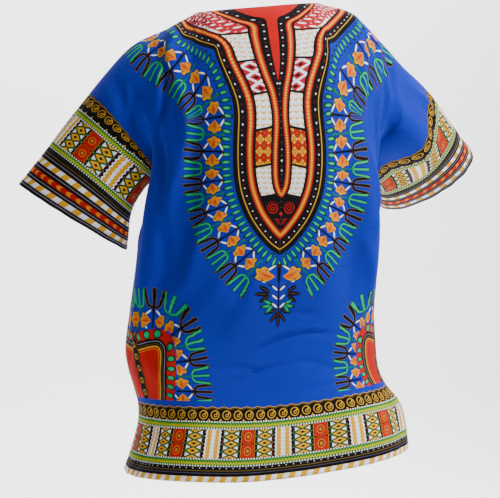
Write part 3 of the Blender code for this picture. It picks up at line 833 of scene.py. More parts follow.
# The side print's zone, and the repeats and the place of its own leaves and blossoms
SIDE_FROM = 0.10
SIDE_TOP = 0.305
SIDE_LEAF_REPEAT = 0.0125
SIDE_LEAF_OFF = 0.019
SIDE_RING_REPEAT = 0.0445

# Where the parts of the print end: off their guide curves, or on the cut
RING_REACH = 0.054
RING_INWARD = -0.019
SIDE_REACH = 0.0285
NECK_REACH = 0.0110
TIP_HALF = 0.043
TIP_UP = (0.20, 0.3025)
HEM_REACH = 0.1195
CUFF_FROM = 0.322


class Cloth:
    """One panel as shown: the points and faces of its outer surface, with their print places."""

    def __init__(self, name, halves):
        self.name = name
        self.body = BODY_COLUMNS * PARTS
        self.under = UPPER_ROWS * PARTS
        self.take_points(halves)
        self.take_faces()
        self.mark_seams(halves)
        self.crease()
        self.place_print()

    def take_points(self, halves):
        """Numbers the points of both halves; they share the centre line where it isn't cut."""
        left, right = (~np.isnan(half[..., 0]) for half in halves)
        gap = np.abs(halves[0][:, 0, 0] - halves[1][:, 0, 0])
        self.cut_open = gap > LEAST_GAP
        right[:, 0] &= self.cut_open
        self.numbers = [-np.ones(left.shape, int), -np.ones(right.shape, int)]
        self.numbers[0][left] = np.arange(left.sum())
        self.numbers[1][right] = left.sum() + np.arange(right.sum())
        closed = ~self.cut_open
        self.numbers[1][closed, 0] = self.numbers[0][closed, 0]
        table = np.zeros((left.sum() + right.sum(), 5))
        for number, half in zip(self.numbers, halves):
            table[number[number >= 0]] = half[number >= 0]
        self.points, self.across, self.up = table[:, :3], table[:, 3], table[:, 4]

    def take_faces(self):
        """Quads of the outer surface, each turned so that it faces out."""
        faces = []
        for side, number in enumerate(self.numbers):
            outward = (self.name == "back") != (side == 0)
            faces.append(quads(number) if outward else quads(number)[:, ::-1])
        self.faces = np.concatenate(faces)

    def mark_seams(self, halves):
        """Lists the lines of points along each seam."""
        self.seams = []
        for number, half in zip(self.numbers, halves):
            self.seams.append(number[0, np.abs(half[0, :, 3]) >= NECK_HALF - 1e-6])
            self.seams.append(number[self.under, self.body :])
            self.seams.append(number[self.under :, self.body])

    def unit_normals(self):
        return unit_length(normals(self.points, self.faces))

    def crease(self):
        """Adds the small folds, the roll of the seams and the slight waves of the hems."""
        unit = self.unit_normals()
        height = fold_height(CREASES[self.name], self.across, self.up, 0.15, 0.35, bow=0.12)
        wander = np.sin(self.across * 31 + self.up * 17) * np.sin(self.up * 23 - self.across * 11)
        height += WANDER * wander
        cuff = HALF_SPAN - np.abs(self.across)
        for edge, on, (high, wide, fade, fast, slow) in (
            (self.up, self.across, HEM_WAVE),
            (cuff, self.up, CUFF_WAVE),
        ):
            wave = np.sin(on * fast + 1.5 * np.sin(on * slow))
            height += high * wave * step(wide - edge, 0.0, fade)
        for line in self.seams:
            height[line] = -SEAM_DIP
        self.points += unit * height[:, None]
        self.normal = self.unit_normals()

    def place_print(self):
        """Works out where each point lies on the print."""
        out = np.abs(self.across).copy()
        sign = np.where(self.across < 0, -1.0, 1.0)
        for number in self.numbers:
            sleeve = number[: self.under + 1, self.body :]
            steps = np.linalg.norm(np.diff(self.points[sleeve], axis=1), axis=2)
            from_cuff = np.cumsum(steps[:, ::-1], axis=1)[:, ::-1]
            from_cuff = np.concatenate([from_cuff, np.zeros((len(steps), 1))], 1)
            flat = np.abs(self.across[sleeve])
            share = step(flat, BODY_HALF, BODY_HALF + SLEEVE_BLEND)
            out[sleeve] = flat + share * (HALF_SPAN - from_cuff - flat)
        self.print_out = out
        at_across, at_up, wide, tall, far = PRINT_BEND
        bend = np.exp(-(((self.across - at_across) / wide) ** 2) - ((self.up - at_up) / tall) ** 2)
        place = np.abs(self.across + far * bend)
        (_, gold), (_, inner), (_, slit), (leaf_on, leaf_off), (ring_on, ring_off) = (
            beside_curve(curve, place, self.up)
            for curve in ("gold", "inner", "slit", "leaves", "ring")
        )
        tip_span = 0.045 - 0.012 * step(ring_off, 0.008, 0.016)
        ring_on = ring_on - RING_START * np.clip(ring_on / tip_span, 0.0, 1.0)
        ring_on = ring_on - RING_SLOWER * np.maximum(ring_on - RING_SLOW_FROM, 0.0)
        aside = np.abs(np.abs(self.across) - SIDE_CENTRE)
        arch_on, arch_off = beside_curve("arch", aside, self.up)
        side_on, side_off = beside_curve("side", aside, self.up)
        zone = (np.abs(self.across) > SIDE_FROM) & (self.up < SIDE_TOP)
        self.by_side = zone
        leaf_on = np.where(zone, arch_on * LEAF_REPEAT / SIDE_LEAF_REPEAT, leaf_on)
        leaf_off = np.where(zone, arch_off - SIDE_LEAF_OFF, leaf_off)
        ring_on = np.where(zone, side_on * RING_REPEAT / SIDE_RING_REPEAT, ring_on)
        ring_off = np.where(zone, side_off, ring_off)
        first = np.where(zone, arch_off, gold)
        self.fields = {
            "cut": np.stack([sign * out, self.up, 0 * out], 1),
            "bands": np.stack([first, inner, slit], 1),
            "leaves": np.stack([leaf_on, leaf_off, place], 1),
            "ring": np.stack([ring_on, ring_off, aside], 1),
        }

    def regions(self):
        """The number of each face's part of the print, as in REGIONS."""
        bands, leaves, ring = (
            self.fields[name][self.faces].mean(1) for name in ("bands", "leaves", "ring")
        )
        up = self.up[self.faces].mean(1)
        out = self.print_out[self.faces].mean(1)
        by_side = self.by_side[self.faces].all(1)
        one_zone = by_side | ~self.by_side[self.faces].any(1)
        near_ring = (ring[:, 1] < RING_REACH) & (~by_side | (ring[:, 1] > RING_INWARD))
        tip_low, tip_high = TIP_UP
        at_tip = (np.abs(leaves[:, 2]) < TIP_HALF) & (up > tip_low) & (up < tip_high)
        found = np.zeros(len(self.faces), int)
        for region, within in (
            ("ring", one_zone & near_ring),
            ("side", by_side & (bands[:, 0] < SIDE_REACH)),
            ("neck", ~by_side & (bands[:, 0] < NECK_REACH)),
            ("tip", ~by_side & at_tip),
            ("hem", up < HEM_REACH),
            ("cuff", out > CUFF_FROM),
        ):
            found[within] = REGIONS.index(region)
        return found

    def shell(self):
        """The closed sheet's points, outside first, its faces and their parts of the print."""
        edge = np.minimum(self.up, HALF_SPAN - np.abs(self.across))
        kept = bpy.context.scene.shirt_cloth
        at_hem = step(kept.hem_width - edge, -HEM_STEP, HEM_STEP)
        thick = kept.sheet + (kept.hem - kept.sheet) * at_hem
        count = len(self.points)
        points = np.concatenate([self.points, self.points - self.normal * thick[:, None]])
        region = self.regions()
        owner = {}
        for k in range(4):
            for face, quad in enumerate(self.faces.tolist()):
                owner[(quad[k], quad[(k + 1) % 4])] = face
        rims, rim_region = [], []
        for (a, b), face in owner.items():
            if (b, a) not in owner:
                rims.append([b, a, a + count, b + count])
                rim_region.append(region[face])
        faces = np.concatenate([self.faces, self.faces[:, ::-1] + count, np.array(rims)])
        return points, faces, np.concatenate([region, region, np.array(rim_region)])


# The parts of the print, each with a material of its own on both panels
REGIONS = ("ground", "neck", "ring", "hem", "cuff", "side", "tip")

SOFT = 0.0004          # width of a shape's soft edge, where no other is given

# The Mix node's sockets for colours: its factor and two inputs, and its output
MIX_COLOUR_INPUTS = (0, 6, 7)
MIX_COLOUR_OUTPUT = 2


def reckoning(operation, swapped=False):
    """One of a Value's sums, made by a math node; swapped where the value is the second number."""

    def made(value, other):
        first, second = (other, value) if swapped else (value, other)
        return value.ink.math(operation, first, second)

    return made


class Value:
    """A number that varies over the cloth, with the usual sums, as the output of a shader node."""

    def __init__(self, ink, socket):
        self.ink = ink
        self.socket = socket

    __add__ = reckoning("ADD")
    __radd__ = reckoning("ADD", swapped=True)
    __sub__ = reckoning("SUBTRACT")
    __rsub__ = reckoning("SUBTRACT", swapped=True)
    __mul__ = reckoning("MULTIPLY")
    __rmul__ = reckoning("MULTIPLY", swapped=True)
    __truediv__ = reckoning("DIVIDE")


def set_inputs(node, values):
    """Sets a node's sockets, by their names, to plain values."""
    for name, value in values.items():
        node.inputs[name].default_value = value


class Ink:
    """Draws a print in a material's nodes: shapes laid over each other on a ground colour."""

    def __init__(self, name, ground, dye):
        self.material = bpy.data.materials.new(name)
        self.material.use_nodes = True
        self.tree = self.material.node_tree
        self.colour = ground
        self.dye = dye
        self.fields = {}

    def node(self, kind, **settings):
        made = self.tree.nodes.new("ShaderNode" + kind)
        for name, value in settings.items():
            setattr(made, name, value)
        return made

    def put(self, socket, value):
        """Sets a socket to a number or a colour, or links it to another node."""
        if isinstance(value, Value):
            self.tree.links.new(value.socket, socket)
        elif isinstance(value, bpy.types.NodeSocket):
            self.tree.links.new(value, socket)
        elif isinstance(value, tuple) and len(value) == 3 and socket.type == "RGBA":
            socket.default_value = (*value, 1.0)
        else:
            socket.default_value = value

    def math(self, operation, *inputs, clamp=False):
        made = self.node("Math", operation=operation, use_clamp=clamp)
        for socket, value in zip(made.inputs, inputs):
            self.put(socket, value)
        return Value(self, made.outputs[0])

    def field(self, name):
        """The three numbers of one of the cloth's own attributes."""
        if name not in self.fields:
            read = self.node("Attribute", attribute_name=name, attribute_type="GEOMETRY")
            split = self.node("SeparateXYZ")
            self.tree.links.new(read.outputs["Vector"], split.inputs[0])
            self.fields[name] = [Value(self, out) for out in split.outputs]
        return self.fields[name]

    def low(self, a, b):
        return self.math("MINIMUM", a, b)

    def high(self, a, b):
        return self.math("MAXIMUM", a, b)

    def size(self, a):
        return self.math("ABSOLUTE", a)

    def fold(self, a, half):
        """0 at each whole repeat of twice half, rising to half midway between two of them."""
        return self.math("PINGPONG", a, half)

    def repeat(self, a, length):
        """The place within a repeat, from minus half its length to half."""
        return self.math("WRAP", a, length / 2, -length / 2)

    def place(self, x, y):
        """x and y as one place, for ovals and lengths."""
        joined = self.node("CombineXYZ")
        self.put(joined.inputs[0], x)
        self.put(joined.inputs[1], y)
        return joined.outputs[0]

    def length(self, place):
        made = self.node("VectorMath", operation="LENGTH")
        self.put(made.inputs[0], place)
        return Value(self, made.outputs["Value"])

    def far(self, x, y):
        """How far x and y lie from 0 together."""
        return self.length(self.place(x, y))

    def oval(self, spot, x, y, half_x, half_y, turn=0.0):
        """Less than 0 within an oval about x, y on the place spot, turned by degrees."""
        moved = self.node("Mapping", vector_type="TEXTURE")
        self.put(moved.inputs["Vector"], spot)
        moved.inputs["Location"].default_value = (x, y, 0.0)
        moved.inputs["Rotation"].default_value = (0.0, 0.0, math.radians(turn))
        moved.inputs["Scale"].default_value = (half_x, half_y, 1.0)
        least = min(half_x, half_y)
        return self.math("MULTIPLY_ADD", self.length(moved.outputs[0]), least, -least)

    def noise(self, spot, scale, **settings):
        """Cloudy noise at the place spot, from about 0 to 1."""
        made = self.node("TexNoise")
        self.put(made.inputs["Vector"], spot)
        set_inputs(made, {"Scale": scale, **settings})
        return Value(self, made.outputs["Fac"])

    def inside(self, distance, soft=SOFT):
        """1 where a distance is less than 0, with a soft edge."""
        return self.math("MULTIPLY_ADD", distance, -1.0 / soft, 0.5, clamp=True)

    def lay(self, mask, colour):
        """Lays a dye, or any colour, over what is drawn so far."""
        self.colour = self.either(mask, self.dye.get(colour, colour), self.colour)

    def shape(self, distance, colour, soft=SOFT, rim=0.0, rim_colour=None):
        """Lays a shape, given by its distance, with a rim round it if one is asked for."""
        if rim_colour is not None:
            self.lay(self.inside(distance - rim, soft), rim_colour)
        self.lay(self.inside(distance, soft), colour)

    def within(self, mask, distance, colour, soft=SOFT):
        """Lays a shape only where a mask is 1."""
        self.lay(self.math("MULTIPLY", mask, self.inside(distance, soft)), colour)

    def line(self, off, half, colour, soft=SOFT):
        """Lays a line about off 0, half its width each way."""
        self.shape(self.size(off) - half, colour, soft)

    def dots(self, off, on, length, radius, colour):
        """Lays a row of dots about off 0, one to each length of it."""
        self.shape(self.far(off, self.repeat(on, length)) - radius, colour)

    def either(self, mask, a, b):
        """a where the mask is 1, b where it is 0, both colours."""
        mix = self.node("Mix", data_type="RGBA")
        factor, first, second = (mix.inputs[number] for number in MIX_COLOUR_INPUTS)
        self.put(factor, mask)
        self.put(first, b)
        self.put(second, a)
        return mix.outputs[MIX_COLOUR_OUTPUT]

    def finish(self, look):
        """Gives what is drawn to the material's shader, with its look; returns the shader."""
        shader = self.tree.nodes["Principled BSDF"]
        self.put(shader.inputs["Base Color"], self.colour)
        set_inputs(shader, look)
        return shader


def hexed(code):
    """A colour written as in a paint chart, in the light values that shaders take."""
    parts = [int(code[k : k + 2], 16) / 255 for k in (0, 2, 4)]
    return tuple(p / 12.92 if p <= 0.04045 else ((p + 0.055) / 1.055) ** 2.4 for p in parts)


# The print's dyes, as in a paint chart
DYES = {
    "blue": "07249f",
    "black": "020102",
    "maroon": "1f0305",
    "gold": "c8981a",
    "dark_gold": "6a5312",
    "yellow": "e0a400",
    "amber": "da8000",
    "orange": "cc4403",
    "red": "b31009",
    "dark_red": "740404",
    "crimson": "b01222",
    "mint": "0ea464",
    "green": "07663a",
    "leaf_green": "16741f",
    "lime": "b4b400",
    "pale_green": "62c492",
    "white": "f6f5fa",
    "cream": "f3f0e8",
    "grey": "7c7688",
    "pink_grey": "5a4040",
    "scarlet": "b80004",
}


# Half of the length in which a border's blocks repeat, and where each border's pattern starts
BLOCK_REPEAT = 0.0585
HEM_START = 1.1805
CUFF_START = 0.0290

# Where the parts of a border lie over it, from its free edge, and their sizes: half and lozenge
# are the heights of the blocks' red tiles and lozenges, repeat and foot those of the scrolls
HEM_BORDER = {
    "blocks": 0.0565, "blocks_end": 0.0790, "half": 0.0215, "lozenge": 0.0107,
    "scrolls": 0.0985, "end": 0.1111, "repeat": 0.0195, "foot": 0.0085,
    "strips": (0.0840, 0.0290),
}
CUFF_BORDER = {
    "blocks": 0.1205, "blocks_end": 0.1490, "half": 0.0270, "lozenge": 0.0148,
    "scrolls": 0.1775, "end": 0.1916, "repeat": 0.0175, "foot": 0.0160,
    "strips": (0.1555, 0.0865),
}


def draw_blocks(ink, on, across, half, lozenge):
    """The blocks of a border: on runs along it, across over it, from 0 at their middle."""
    fold = ink.fold(on, BLOCK_REPEAT)
    ink.lay(1.0, "black")
    beside = ink.size(fold - 0.0302)
    level = ink.fold(across + lozenge * 8, lozenge / 2)
    square = beside / 0.0123 + level * (2.0 / lozenge)
    ink.shape(beside - 0.0119, "white")
    for reach, colour in ((1.40, "green"), (1.12, "black"), (0.90, "yellow"), (0.36, "black")):
        ink.shape(square - reach, colour, 0.06)
    wave = ink.fold(across + 0.5, lozenge * 0.27)
    ink.shape(fold - (0.0114 + wave * 0.6), "white")
    ink.line(fold - 0.0064, 0.0024 + wave * 0.6, "yellow", 0.0006)
    ink.line(fold - 0.0162, 0.0004, "dark_red", 0.0006)
    ink.line(fold - 0.0478 + wave * 0.3, 0.0005, "amber", 0.0005)
    ink.dots(ink.size(fold - 0.0446), across, 0.0052, 0.0006, "pink_grey")
    tile = ink.repeat(across + half / 2, half)
    middle = BLOCK_REPEAT - fold
    corner = ink.math("SMOOTH_MAX", middle - 0.0094, ink.size(tile) - half / 2 + 0.0006, 0.004)
    ink.shape(corner, "orange")
    ink.shape(corner + 0.0007, "red")
    ring = ink.far(middle, tile * 0.9)
    ink.line(ring - 0.0056, 0.0005, "amber", 0.0005)
    ink.shape(ring - 0.0034, "black", 0.0005)
    ink.line(ring - 0.0016, 0.0008, "gold", 0.0005)


def draw_zigzag(ink, on, across):
    """The narrow green and yellow strip of a border, about across 0 and 12 mm wide."""
    tooth = ink.fold(on, 0.0022)
    far = ink.size(across)
    ink.shape(far - 0.0063, "black")
    ink.shape(ink.high(far - 0.0061, 0.0010 - tooth), "white")
    ink.shape(far - 0.0042, "leaf_green")
    ink.line(across + tooth * 1.5 - 0.0006, 0.0016, "lime", 0.0005)


def scroll_wave(ink, on, repeat):
    """How far the scrolls' wavy edge lies from straight."""
    return ink.math("SINE", on * (2 * math.pi / repeat)) * 0.0010


def draw_scrolls(ink, on, across, repeat, foot):
    """The black band of gold ring scrolls, about across 0; its straight edge lies foot below."""
    place = ink.repeat(on, repeat)
    edge = across - scroll_wave(ink, on, repeat)
    ink.shape(edge - 0.0125, "gold")
    ink.shape(edge - 0.0116, "black")
    ink.line(edge - 0.0100, 0.0004, "dark_gold")
    spot = ink.place(place, across)
    ink.line(ink.oval(spot, 0.0, 0.0010, 0.0066, 0.0062), 0.0007, "gold")
    ink.line(ink.oval(spot, -0.0006, 0.0001, 0.0022, 0.0020), 0.0006, "gold")
    ink.shape(ink.oval(spot, -0.0034, 0.0036, 0.0021, 0.0011, -35.0), "yellow")
    peak = ink.size(ink.repeat(on + repeat / 2, repeat)) + (across + foot - 0.0042) * 0.7
    ink.shape(peak, "gold")


def draw_checks(ink, on, across, half, repeat):
    """A band of yellow and white slanted checks, about across 0, half its width each way."""
    far = ink.size(across)
    ink.shape(far - half, "white")
    tooth = ink.size(ink.repeat(on + across * 0.35, repeat)) - repeat * 0.26
    ink.shape(ink.high(tooth, far - half), "yellow")


def draw_border(ink, on, over, size):
    """What hem and cuff share: the blocks, the scrolls beyond them and the narrow strips."""
    blue = ink.colour
    draw_blocks(ink, on, over - size["blocks"], size["half"], size["lozenge"])
    blocks = ink.colour
    ink.colour = ink.dye["black"]
    draw_scrolls(ink, on, over - size["scrolls"], size["repeat"], size["foot"])
    scrolls = ink.inside(over - size["end"] - scroll_wave(ink, on, size["repeat"]))
    ink.colour = ink.either(scrolls, ink.colour, blue)
    ink.colour = ink.either(ink.inside(over - size["blocks_end"]), blocks, ink.colour)
    for strip in size["strips"]:
        draw_zigzag(ink, on, over - strip)


def draw_hem(ink):
    """The border along the hem."""
    out, up, _ = ink.field("cut")
    on = out + HEM_START
    draw_border(ink, on, up, HEM_BORDER)
    ink.shape(up - 0.0232, "black")
    ink.dots(up - 0.0208, on, 0.0105, 0.0007, "cream")
    ink.line(up - 0.0172, 0.0006, "dark_gold")
    ink.line(up - 0.0135, 0.0005, "pink_grey")
    draw_checks(ink, on, up - 0.0045, 0.0040, 0.0178)
    ink.shape(up - 0.0004, "dark_gold")


def draw_cuff(ink):
    """The border round a cuff: in runs from the cuff's edge towards the body."""
    out, up, _ = ink.field("cut")
    on = up + CUFF_START
    inward = HALF_SPAN - ink.size(out)
    draw_border(ink, on, inward, CUFF_BORDER)
    ink.shape(inward - 0.0808, "black")
    ink.dots(inward - 0.0775, on, 0.0052, 0.0007, "pink_grey")
    ink.line(inward - 0.0716, 0.0007, "dark_gold")
    ink.line(inward - 0.0660, 0.0007, "grey")
    draw_checks(ink, on, inward - 0.0550, 0.0048, 0.0200)
    ink.line(inward - 0.0448, 0.0007, "grey")
    beside = ink.size(inward - 0.0345)
    ink.shape(beside - 0.0052, "dark_red")
    ink.shape(beside - 0.0044, "red")
    arrow = ink.size(ink.repeat(on + beside * 0.9, 0.0160))
    ink.shape(ink.high(arrow - 0.0030, beside - 0.0038), "amber", 0.0006)
    ink.line(inward - 0.0250, 0.0007, "grey")
    draw_checks(ink, on, inward - 0.0152, 0.0048, 0.0200)
    ink.line(inward - 0.0062, 0.0007, "grey")


def draw_flame(ink, off, on, half):
    """A red line with a yellow heart and fine teeth, about off 0."""
    far = ink.size(off)
    toothed = far + ink.fold(on, 0.0018)
    for place, reach, colour, soft in (
        (far, 1.08, "dark_red", 0.10),
        (far, 0.84, "red", 0.12),
        (toothed, 0.76, "orange", 0.14),
        (toothed, 0.46, "yellow", 0.14),
    ):
        ink.shape(place - half * reach, colour, half * soft)


def spiral(ink, x, y, reach, gap):
    """Less than 0 on the line of a spiral about 0, 0, whose turns lie gap apart."""
    far = ink.far(x, y)
    turn = ink.math("ARCTAN2", y, x) * (gap / (2 * math.pi))
    line = ink.size(ink.repeat(far - turn, gap)) - gap * 0.26
    return ink.high(line, far - reach)


# The neck panel's blocks: they begin this far within the gold line and end this far outside the
# flame line, from a level upwards, and their rows fall outwards by a share of the distance
COLUMN_WITHIN = 0.0270
COLUMN_OUTSIDE = 0.0072
COLUMN_FROM = 0.4330
ROW_FALL = 0.18
ROW_FALL_FROM = 0.036

# Levels of the black bars between the blocks, and the middle and half the height of two of them
BAR_LEVELS = (0.6665, 0.6190, 0.5710, 0.5250, 0.4785)
BAR_HALF = 0.0017
SQUARES_AT = (0.5955, 0.0240)
ROSETTES_AT = (0.5020, 0.0230)
WING_FROM = 0.6655
FOOT_TOP = 0.4300

# Ovals: across and up of the middle, half the width, half the length, and the turn in degrees
WING_LEAVES = ((0.0, 0.0, 0.0018, 0.0056, 12.0), (0.0052, 0.0080, 0.0010, 0.0014, -20.0))
RING_PETALS = ((0.0068, -0.0132, 0.0013, 0.0054, -50.0), (0.0068, 0.0126, 0.0013, 0.0052, 46.0))
TIP_BLADES = (
    (0.0235, 0.2915, 0.0036, 0.0100, -58.0),
    (0.0280, 0.2840, 0.0036, 0.0120, -88.0),
    (0.0240, 0.2765, 0.0036, 0.0100, -122.0),
    (0.0110, 0.2965, 0.0016, 0.0100, -66.0),
    (0.0000, 0.2440, 0.0036, 0.0120, 0.0),
    (0.0070, 0.2480, 0.0034, 0.0110, 40.0),
    (0.0115, 0.2570, 0.0032, 0.0095, 74.0),
)
TIP_LEAVES = (
    (0.0170, 0.2705, 0.0026, 0.0092, -66.0),
    (0.0190, 0.2650, 0.0026, 0.0090, -98.0),
    (0.0150, 0.2605, 0.0026, 0.0085, -136.0),
)
TIP_PETALS = tuple((0.0066, up, 0.0014, 0.0054, -52.0) for up in (0.2930, 0.2790, 0.2660))

# The blossoms: where the first one ends, their radius, the petals of a whole round with how far
# they stand out, and the half angle of what shows of it
RING_FIRST = 0.0125
BLOSSOM_RADIUS = 0.0158
BLOSSOM_PETALS = 9.0
BLOSSOM_SCALLOP = 0.0009
BLOSSOM_ANGLE = 0.90

# The claws: how far off the ring's line each kind starts, with half the widths of its strokes
NEAR_CLAW = (0.0195, ((0.0022, "dark_gold"), (0.0015, "black")))
LATE_CLAW = (0.0180, ((0.0023, "black"), (0.0014, "mint")))


def block_mask(ink, level, at):
    """1 within the block that lies about a middle level, half its height each way."""
    middle, half = at
    return ink.inside(ink.size(level - middle) - half)


def draw_chevrons(ink, column, up):
    """The white blocks with yellow chevrons that the neck panel's columns are made of."""
    ink.colour = ink.dye["white"]
    beside = ink.size(ink.repeat(column, 0.0100))
    level = ink.repeat(up - beside * 0.7, 0.0078)
    ink.shape(ink.high(ink.size(level) - 0.0012, beside - 0.0036), "yellow", 0.0008)


def draw_squares(ink, patch, column, up):
    """The crimson block of white and black squares, where patch is 1."""
    square = ink.size(column - 0.0125) / 0.0125 + ink.size(ink.repeat(up + 0.0055, 0.0150)) / 0.0075
    ink.lay(patch, "crimson")
    ink.within(patch, ink.size(square - 1.0) - 0.26, "white", 0.08)
    ink.within(patch, square - 0.32, "black", 0.06)


def draw_rosettes(ink, patch, column, up):
    """The red block of yellow rosettes, where patch is 1."""
    ink.lay(patch, "red")
    cell_on, cell_up = ink.repeat(column - 0.0065, 0.0130), ink.repeat(up - 0.0020, 0.0155)
    far = ink.far(cell_on, cell_up)
    petals = far - ink.math("COSINE", ink.math("ARCTAN2", cell_up, cell_on) * 4.0) * 0.0012
    ink.within(patch, petals - 0.0060, "maroon")
    ink.within(patch, petals - 0.0052, "yellow")
    ink.within(patch, ink.size(far - 0.0022) - 0.0006, "red")
    corner = ink.far(ink.repeat(column, 0.0130), ink.repeat(up + 0.00575, 0.0155))
    ink.within(patch, corner - 0.0020, "dark_red")
    ink.within(patch, corner - 0.0009, "amber")


def draw_wing(ink, wing, out, up):
    """The crimson ground of white leaves over the shoulders, where wing is 1."""
    ink.lay(wing, "crimson")
    along, beside = out * 0.80 + up * 0.60, up * 0.80 - out * 0.60
    petal = ink.place(ink.repeat(along + beside * 0.3, 0.0112), ink.repeat(beside, 0.0180))
    for leaf in WING_LEAVES:
        ink.within(wing, ink.oval(petal, *leaf), "white", 0.0006)


def draw_foot(ink, foot, out, up):
    """The red spirals and points at the neck panel's foot, where foot is less than 0."""
    mark = spiral(ink, out - 0.0125, up - 0.4155, 0.0098, 0.0044)
    mark = ink.low(mark, spiral(ink, out - 0.0078, up - 0.3945, 0.0060, 0.0034))
    mark = ink.low(mark, out + ink.size(up - 0.4065) * 0.8 - 0.0034)
    mark = ink.low(mark, out + ink.size(up - 0.3790) * 0.8 - 0.0040)
    ink.shape(ink.high(mark, foot), "dark_red", 0.0006)
    ink.shape(ink.high(mark + 0.0005, foot), "red", 0.0008)


def draw_neck(ink):
    """The panel round the neck and down the middle."""
    gold, inner, slit = ink.field("bands")
    on, _, out = ink.field("leaves")
    _, up, _ = ink.field("cut")
    ink.shape(gold - 0.0082, "black")
    ink.line(gold, 0.0008, "gold")
    column = -COLUMN_WITHIN - gold
    level = up + (out - ROW_FALL_FROM) * ROW_FALL
    blocks = ink.high(gold + COLUMN_WITHIN, COLUMN_OUTSIDE - inner)
    mask = ink.inside(ink.high(blocks, COLUMN_FROM - level))
    ground = ink.colour
    draw_chevrons(ink, column, up)
    draw_squares(ink, block_mask(ink, level, SQUARES_AT), column, up)
    draw_rosettes(ink, block_mask(ink, level, ROSETTES_AT), column, up)
    draw_wing(ink, ink.inside(WING_FROM - level + ink.high(out - 0.05, 0.0) * 0.55), out, up)
    for bar in BAR_LEVELS:
        ink.line(level - bar, BAR_HALF, "black", 0.0005)
    ink.colour = ink.either(mask, ink.colour, ground)
    draw_foot(ink, ink.high(gold + 0.0275, level - FOOT_TOP), out, up)
    draw_flame(ink, gold + 0.0180, on, 0.0050)
    ink.shape(inner - 0.0070, "black")
    draw_flame(ink, inner, up, 0.0040)
    ink.shape(inner + 0.0048, "black")
    for off, along in ((gold + 0.0058, on), (inner + 0.0098, up + 0.003)):
        ink.dots(off, along, 0.0140, 0.0011, "white")
        ink.dots(off, along + 0.0070, 0.0140, 0.0010, "dark_red")
    middle = ink.far(out, ink.repeat(up, 0.0085)) - 0.0009
    ink.shape(ink.high(middle, up - 0.586), "pink_grey")
    ink.shape(slit, "scarlet")


def draw_claw(ink, beside, off, limit, claw_kind):
    """A three-pronged claw that opens outwards, only where limit is less than 0."""
    start, strokes = claw_kind
    beyond = off - start
    turn = beyond - 0.0085
    bow = ink.size(ink.far(beside, ink.low(turn, 0.0)) - (0.0078 + ink.high(turn, 0.0) * 0.10))
    bow = ink.high(bow, ink.size(beyond - 0.0135) - 0.0150)
    prong = ink.high(beside, ink.size(beyond - 0.0155) - 0.0135)
    claw = ink.high(ink.low(bow, prong), limit)
    for half, colour in strokes:
        ink.shape(claw - half, colour, 0.0005)


def draw_ring(ink):
    """The row of leaves and the ring of blossoms and claws outside it."""
    leaf_on, leaf_off, _ = ink.field("leaves")
    on, off, _ = ink.field("ring")
    row = ink.place(ink.repeat(leaf_on, LEAF_REPEAT), leaf_off)
    leaf = ink.oval(row, 0.0, 0.0, 0.0023, 0.0074)
    drop = leaf + leaf_off * 0.06
    ink.shape(drop, "green", 0.0006, 0.0009, "black")
    ink.shape(drop + 0.0006, "mint", 0.0008)
    ink.shape(drop + 0.0020 - leaf_off * 0.05, "pale_green", 0.0016)
    near = ink.fold(on, RING_REPEAT / 2)
    late = RING_REPEAT / 2 - near
    first = RING_FIRST - on
    draw_claw(ink, near, off, first, NEAR_CLAW)
    draw_claw(ink, late, off, first, LATE_CLAW)
    stem = ink.high(late - 0.0010, ink.size(off - 0.0030) - 0.0165)
    spot = ink.place(near, off)
    bud = ink.oval(spot, RING_REPEAT / 2, -0.0150, 0.0018, 0.0030)
    ink.shape(ink.low(stem, bud), "green", 0.0005)
    ink.shape(ink.high(near - 0.0013, ink.size(off - 0.0030) - 0.0185), "black", 0.0005)
    bud = ink.oval(spot, 0.0, -0.0165, 0.0026, 0.0028)
    ink.shape(bud, "black", 0.0005)
    ink.line(bud + 0.0011, 0.0003, "pink_grey", 0.0005)
    x, y = near - 0.0030, off + 0.0004
    turn = ink.math("ARCTAN2", y, x)
    far = ink.far(x, y)
    scallop = ink.math("COSINE", turn * BLOSSOM_PETALS) * BLOSSOM_SCALLOP
    side = (ink.size(turn) - BLOSSOM_ANGLE) * 0.0105
    blossom = ink.math("SMOOTH_MAX", far - scallop - BLOSSOM_RADIUS, side, 0.0045)
    ink.shape(blossom, "yellow", 0.0006, 0.0009, "black")
    ink.shape(blossom + 0.0012, "amber", 0.0012)
    ink.shape(blossom + 0.0054, "orange", 0.0040)
    vein = ink.size(ink.math("SINE", turn * (BLOSSOM_PETALS / 2) + 0.4)) * far * 0.22 - 0.0003
    ink.shape(ink.high(vein, ink.high(blossom + 0.0016, 0.0040 - far)), "dark_red", 0.0005)
    for petal in RING_PETALS:
        ink.shape(ink.oval(spot, *petal), "white", 0.0006, 0.0006, "black")


def draw_tip(ink):
    """The spray below the ring's lowest point."""
    _, _, out = ink.field("leaves")
    _, up, _ = ink.field("cut")
    spot = ink.place(ink.size(out), up)
    stem = ink.high(ink.size(out) - 0.0011, ink.size(up - 0.2780) - 0.0330)
    ink.shape(stem, "black", 0.0005)
    for blade in TIP_BLADES:
        ink.shape(ink.oval(spot, *blade), "black", 0.0005)
    for x, y, _, half_y, turn in TIP_BLADES:
        ink.shape(ink.oval(spot, x, y, 0.0005, half_y * 0.72, turn), "pink_grey", 0.0006)
    for leaf in TIP_LEAVES:
        oval = ink.oval(spot, *leaf)
        ink.shape(oval, "green", 0.0006, 0.0009, "black")
        ink.shape(oval + 0.0008, "mint", 0.0008)
    for petal in TIP_PETALS:
        ink.shape(ink.oval(spot, *petal), "white", 0.0006, 0.0007, "black")


